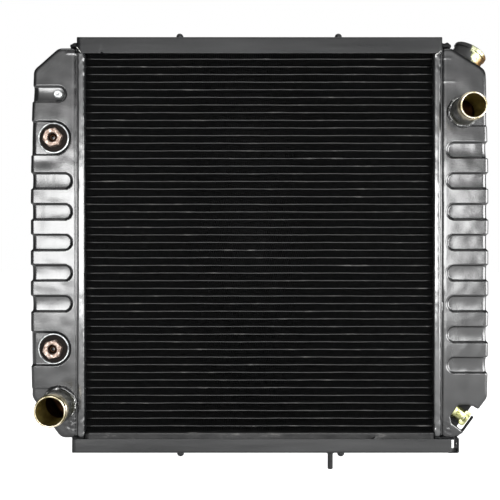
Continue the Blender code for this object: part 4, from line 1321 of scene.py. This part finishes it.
def plug():
    floor = TANK_HALF_DEPTH - BEAD_DEPTH
    points = [(0.0, floor + 0.0022), (0.0014, floor + 0.0024), (0.0022, floor + 0.0036),
              (0.0050, floor + 0.0036), (0.0062, floor + 0.0024), (0.0062, floor - 0.0004),
              (0.0045, floor - 0.0004), (0.0045, floor - 0.0050), (0.0, floor - 0.0050)]
    turned_piece("tank_plug_disc", points, 0.0005, (-PLUG_X, 0, PLUG_Z), (0, -1, 0), 64, STEEL, "steel",
                 stands_for=["tank_plug"])


# ---------------------------------------------------------------- drain cock
def drain_cock():
    origin, out = cock_frame()
    wall = -0.0285 + GAP
    points = [(0.0035, -0.0118), (0.0084, -0.0118), (0.0092, -0.0126), (0.0092, -0.0225), (0.0104, -0.0235),
              (0.0104, wall), (0.0060, wall), (0.0060, -0.0370), (0.0022, -0.0370), (0.0022, -0.0262),
              (0.0050, -0.0262), (0.0050, -0.0170), (0.0035, -0.0170)]
    mesh = turned_mesh("cock", profile(points, 0.0006), origin, out, 72)
    spout = turned_mesh("spout", [(0.0, 0.002), (0.0016, 0.002), (0.0016, 0.012), (0.0, 0.012)],
                        origin + out * -0.0205, -chamfer_frame()[2], 24)
    mesh = combine(mesh, spout)
    weighted(piece("drain_cock_barrel", mesh, COCK_BRASS, "brass", stands_for=["drain_cock_body"]))
    drain_wing(origin, out)


def drain_wing(origin, out):
    """The screw with its fine thread and the flat cast wing it is turned by."""
    way_up = Vector((0, 1, 0)).cross(out)
    low_end, high_end = WING_ENDS
    middle, half = (low_end + high_end) / 2, (high_end - low_end) / 2
    cast = lumps(0.004, 71)

    def field(x, y, z):
        dx, dy, dz = x - origin.x, y - origin.y, z - origin.z
        along = dx * out.x + dz * out.z
        across = dx * way_up.x + dz * way_up.z
        waist = 0.0016 * smooth_step(1.0 - np.abs(across) / 0.006)
        slab = smooth_max(np.abs(across) - WING_HALF_SPAN, np.abs(along - middle) - half, 0.0056)
        slab = smooth_max(slab, np.abs(dy) - WING_THICKNESS / 2 + 0.0006 - waist * 0.5, 0.0016)
        around = np.hypot(across, dy)
        hub = smooth_max(around - HUB_RADIUS, np.abs(along - HUB_AT) - HUB_HALF_LENGTH, 0.0014)
        thread = THREAD_HEIGHT * np.sin(np.arctan2(dy, across) + along * 2 * math.pi / THREAD_PITCH)
        shaft = smooth_max(around - SHAFT_RADIUS - thread,
                           np.abs(along - SHAFT_AT) - SHAFT_HALF_LENGTH, 0.0006)
        shape = smooth_min(smooth_min(slab, hub, 0.0012), shaft, 0.0006)
        hole = np.hypot(across, along - WING_HOLE_AT) - WING_HOLE_RADIUS
        return smooth_max(shape + 0.00006 * cast(x, y, z) + 0.0001, -hole, 0.0006)

    reach = Vector((0.0190, 0.0070, 0.0190))
    centre = origin + out * -0.0120
    field_piece("drain_wing_screw", field, *zip(centre - reach, centre + reach), 0.00032, COCK_BRASS,
                "brass", body="drain_screw", stands_for=["drain_screw"])


# ---------------------------------------------------------------- stage
def area_light(name, place, target, width, height, radiance):
    light = bpy.data.lights.new(name, "AREA")
    light.shape = "RECTANGLE"
    light.size, light.size_y = width, height
    light.energy = radiance * math.pi * width * height
    obj = linked(name, light)
    way = (Vector(target) - Vector(place)).normalized()
    obj.location = place
    obj.rotation_euler = way.to_track_quat("-Z", "Y").to_euler()


def floor():
    low, reach = CAD_BOX[0].z, FLOOR_REACH
    mesh = bpy.data.meshes.new("floor")
    corners = [(-reach, -reach, low), (reach, -reach, low), (reach, reach, low), (-reach, reach, low)]
    mesh.from_pydata(corners, [], [(0, 1, 2, 3)])
    s = Surface("floor_paper")
    paths = s.add("ShaderNodeLightPath").outputs
    glow = s.math("MULTIPLY", paths["Is Camera Ray"], FLOOR_GLOW)
    glow = s.math("ADD", glow, s.math("MULTIPLY", paths["Is Glossy Ray"], FLOOR_SHEEN))
    surface = s.finish(Base_Color=s.layer((3.0, 3.0), (0.3, 0.56), (0.7, 0.62)),
                       Roughness=s.layer((9.0,), (0.3, 0.8), (0.7, 0.9)),
                       Emission_Strength=glow, Emission_Color=WHITE)
    surface.cycles.emission_sampling = "NONE"
    mesh.materials.append(surface)
    linked("floor", mesh)


def world():
    """White to the eye, and a dim studio, brightest in front, to everything that is lit by it."""
    studio_world = bpy.data.worlds.new("studio")
    bpy.context.scene.world = studio_world
    studio_world.use_nodes = True
    n = Nodes(studio_world.node_tree)
    place = n.add("ShaderNodeTexCoord").outputs["Generated"]
    back = n.add("ShaderNodeSeparateXYZ", Vector=place).outputs["Y"]
    front = n.math("MAXIMUM", n.math("MULTIPLY", back, -1.0), 0.0)
    strength = n.math("MULTIPLY_ADD", n.math("POWER", front, STUDIO_FALL), STUDIO_FRONT, STUDIO_FILL)
    studio = n.nodes["Background"]
    n.set(studio, {"Strength": strength, "Color": WHITE})
    white = n.add("ShaderNodeBackground", Strength=1.0, Color=WHITE)
    seen = n.add("ShaderNodeLightPath").outputs["Is Camera Ray"]
    mix = n.add("ShaderNodeMixShader")
    n.set(mix, {0: seen, 1: studio.outputs[0], 2: white.outputs[0]})
    n.links.new(mix.outputs[0], n.nodes["World Output"].inputs["Surface"])


def camera():
    data = bpy.data.cameras.new("camera")
    data.lens = 50.0
    data.sensor_width = 36.0
    data.clip_start = 0.01
    obj = linked("camera", data)
    obj.location = (-0.0138, -1.036, 0.2944)
    obj.rotation_euler = (math.pi / 2, 0, 0)
    bpy.context.scene.camera = obj


def lights():
    """Each light's name, place, target, width, height and radiance."""
    area_light("front_softbox", (-0.120, -1.60, 0.350), (-0.120, 0, 0.350), 1.76, 0.506, 13.5)
    area_light("side_panel", (1.36, -0.66, 0.30), (0.30, 0, 0.30), 1.05, 0.90, 13.0)
    area_light("overhead", (0.0, -0.3, 2.4), (0.0, 0.0, 0.0), 2.0, 2.0, 1.6)
    area_light("rear_panel", (0.8, 2.2, 1.8), (0.0, 0.0, 0.3), 1.4, 1.4, 3.0)


# ---------------------------------------------------------------- assembly
def finishes():
    """Materials for the solids that keep their own shape, most of them inside the tanks."""
    for name in ("cooler_outer_tube", "cooler_inner_tube", "cooler_turbulator"):
        paint_node(name, COPPER)
    for name in ("upper_flare_seat", "lower_flare_seat"):
        paint_node(name, CAVITY)
    paint_node("drain_seal", RUBBER)


def paint_node(name, surface):
    mesh = NODES[name].data
    mesh.materials.clear()
    mesh.materials.append(surface)


def main():
    for side in ("left", "right"):
        tank(side)
        header_rim(side)
        gusset(side)
        foot_solder(side)
    core()
    end_plates()
    channels()
    fasteners()
    for number, (name, (points, y, radius)) in enumerate(SOLDER_RUNS.items()):
        solder_run(name, points, y, radius, 80 + number)
    for name in NECKS:
        hose_neck(name)
    filler()
    for place in COOLER_Z:
        cooler_fitting(place)
    plug()
    drain_cock()
    finishes()
    floor()
    world()
    lights()
    camera()
    bpy.context.scene.view_settings.view_transform = "Standard"


main()
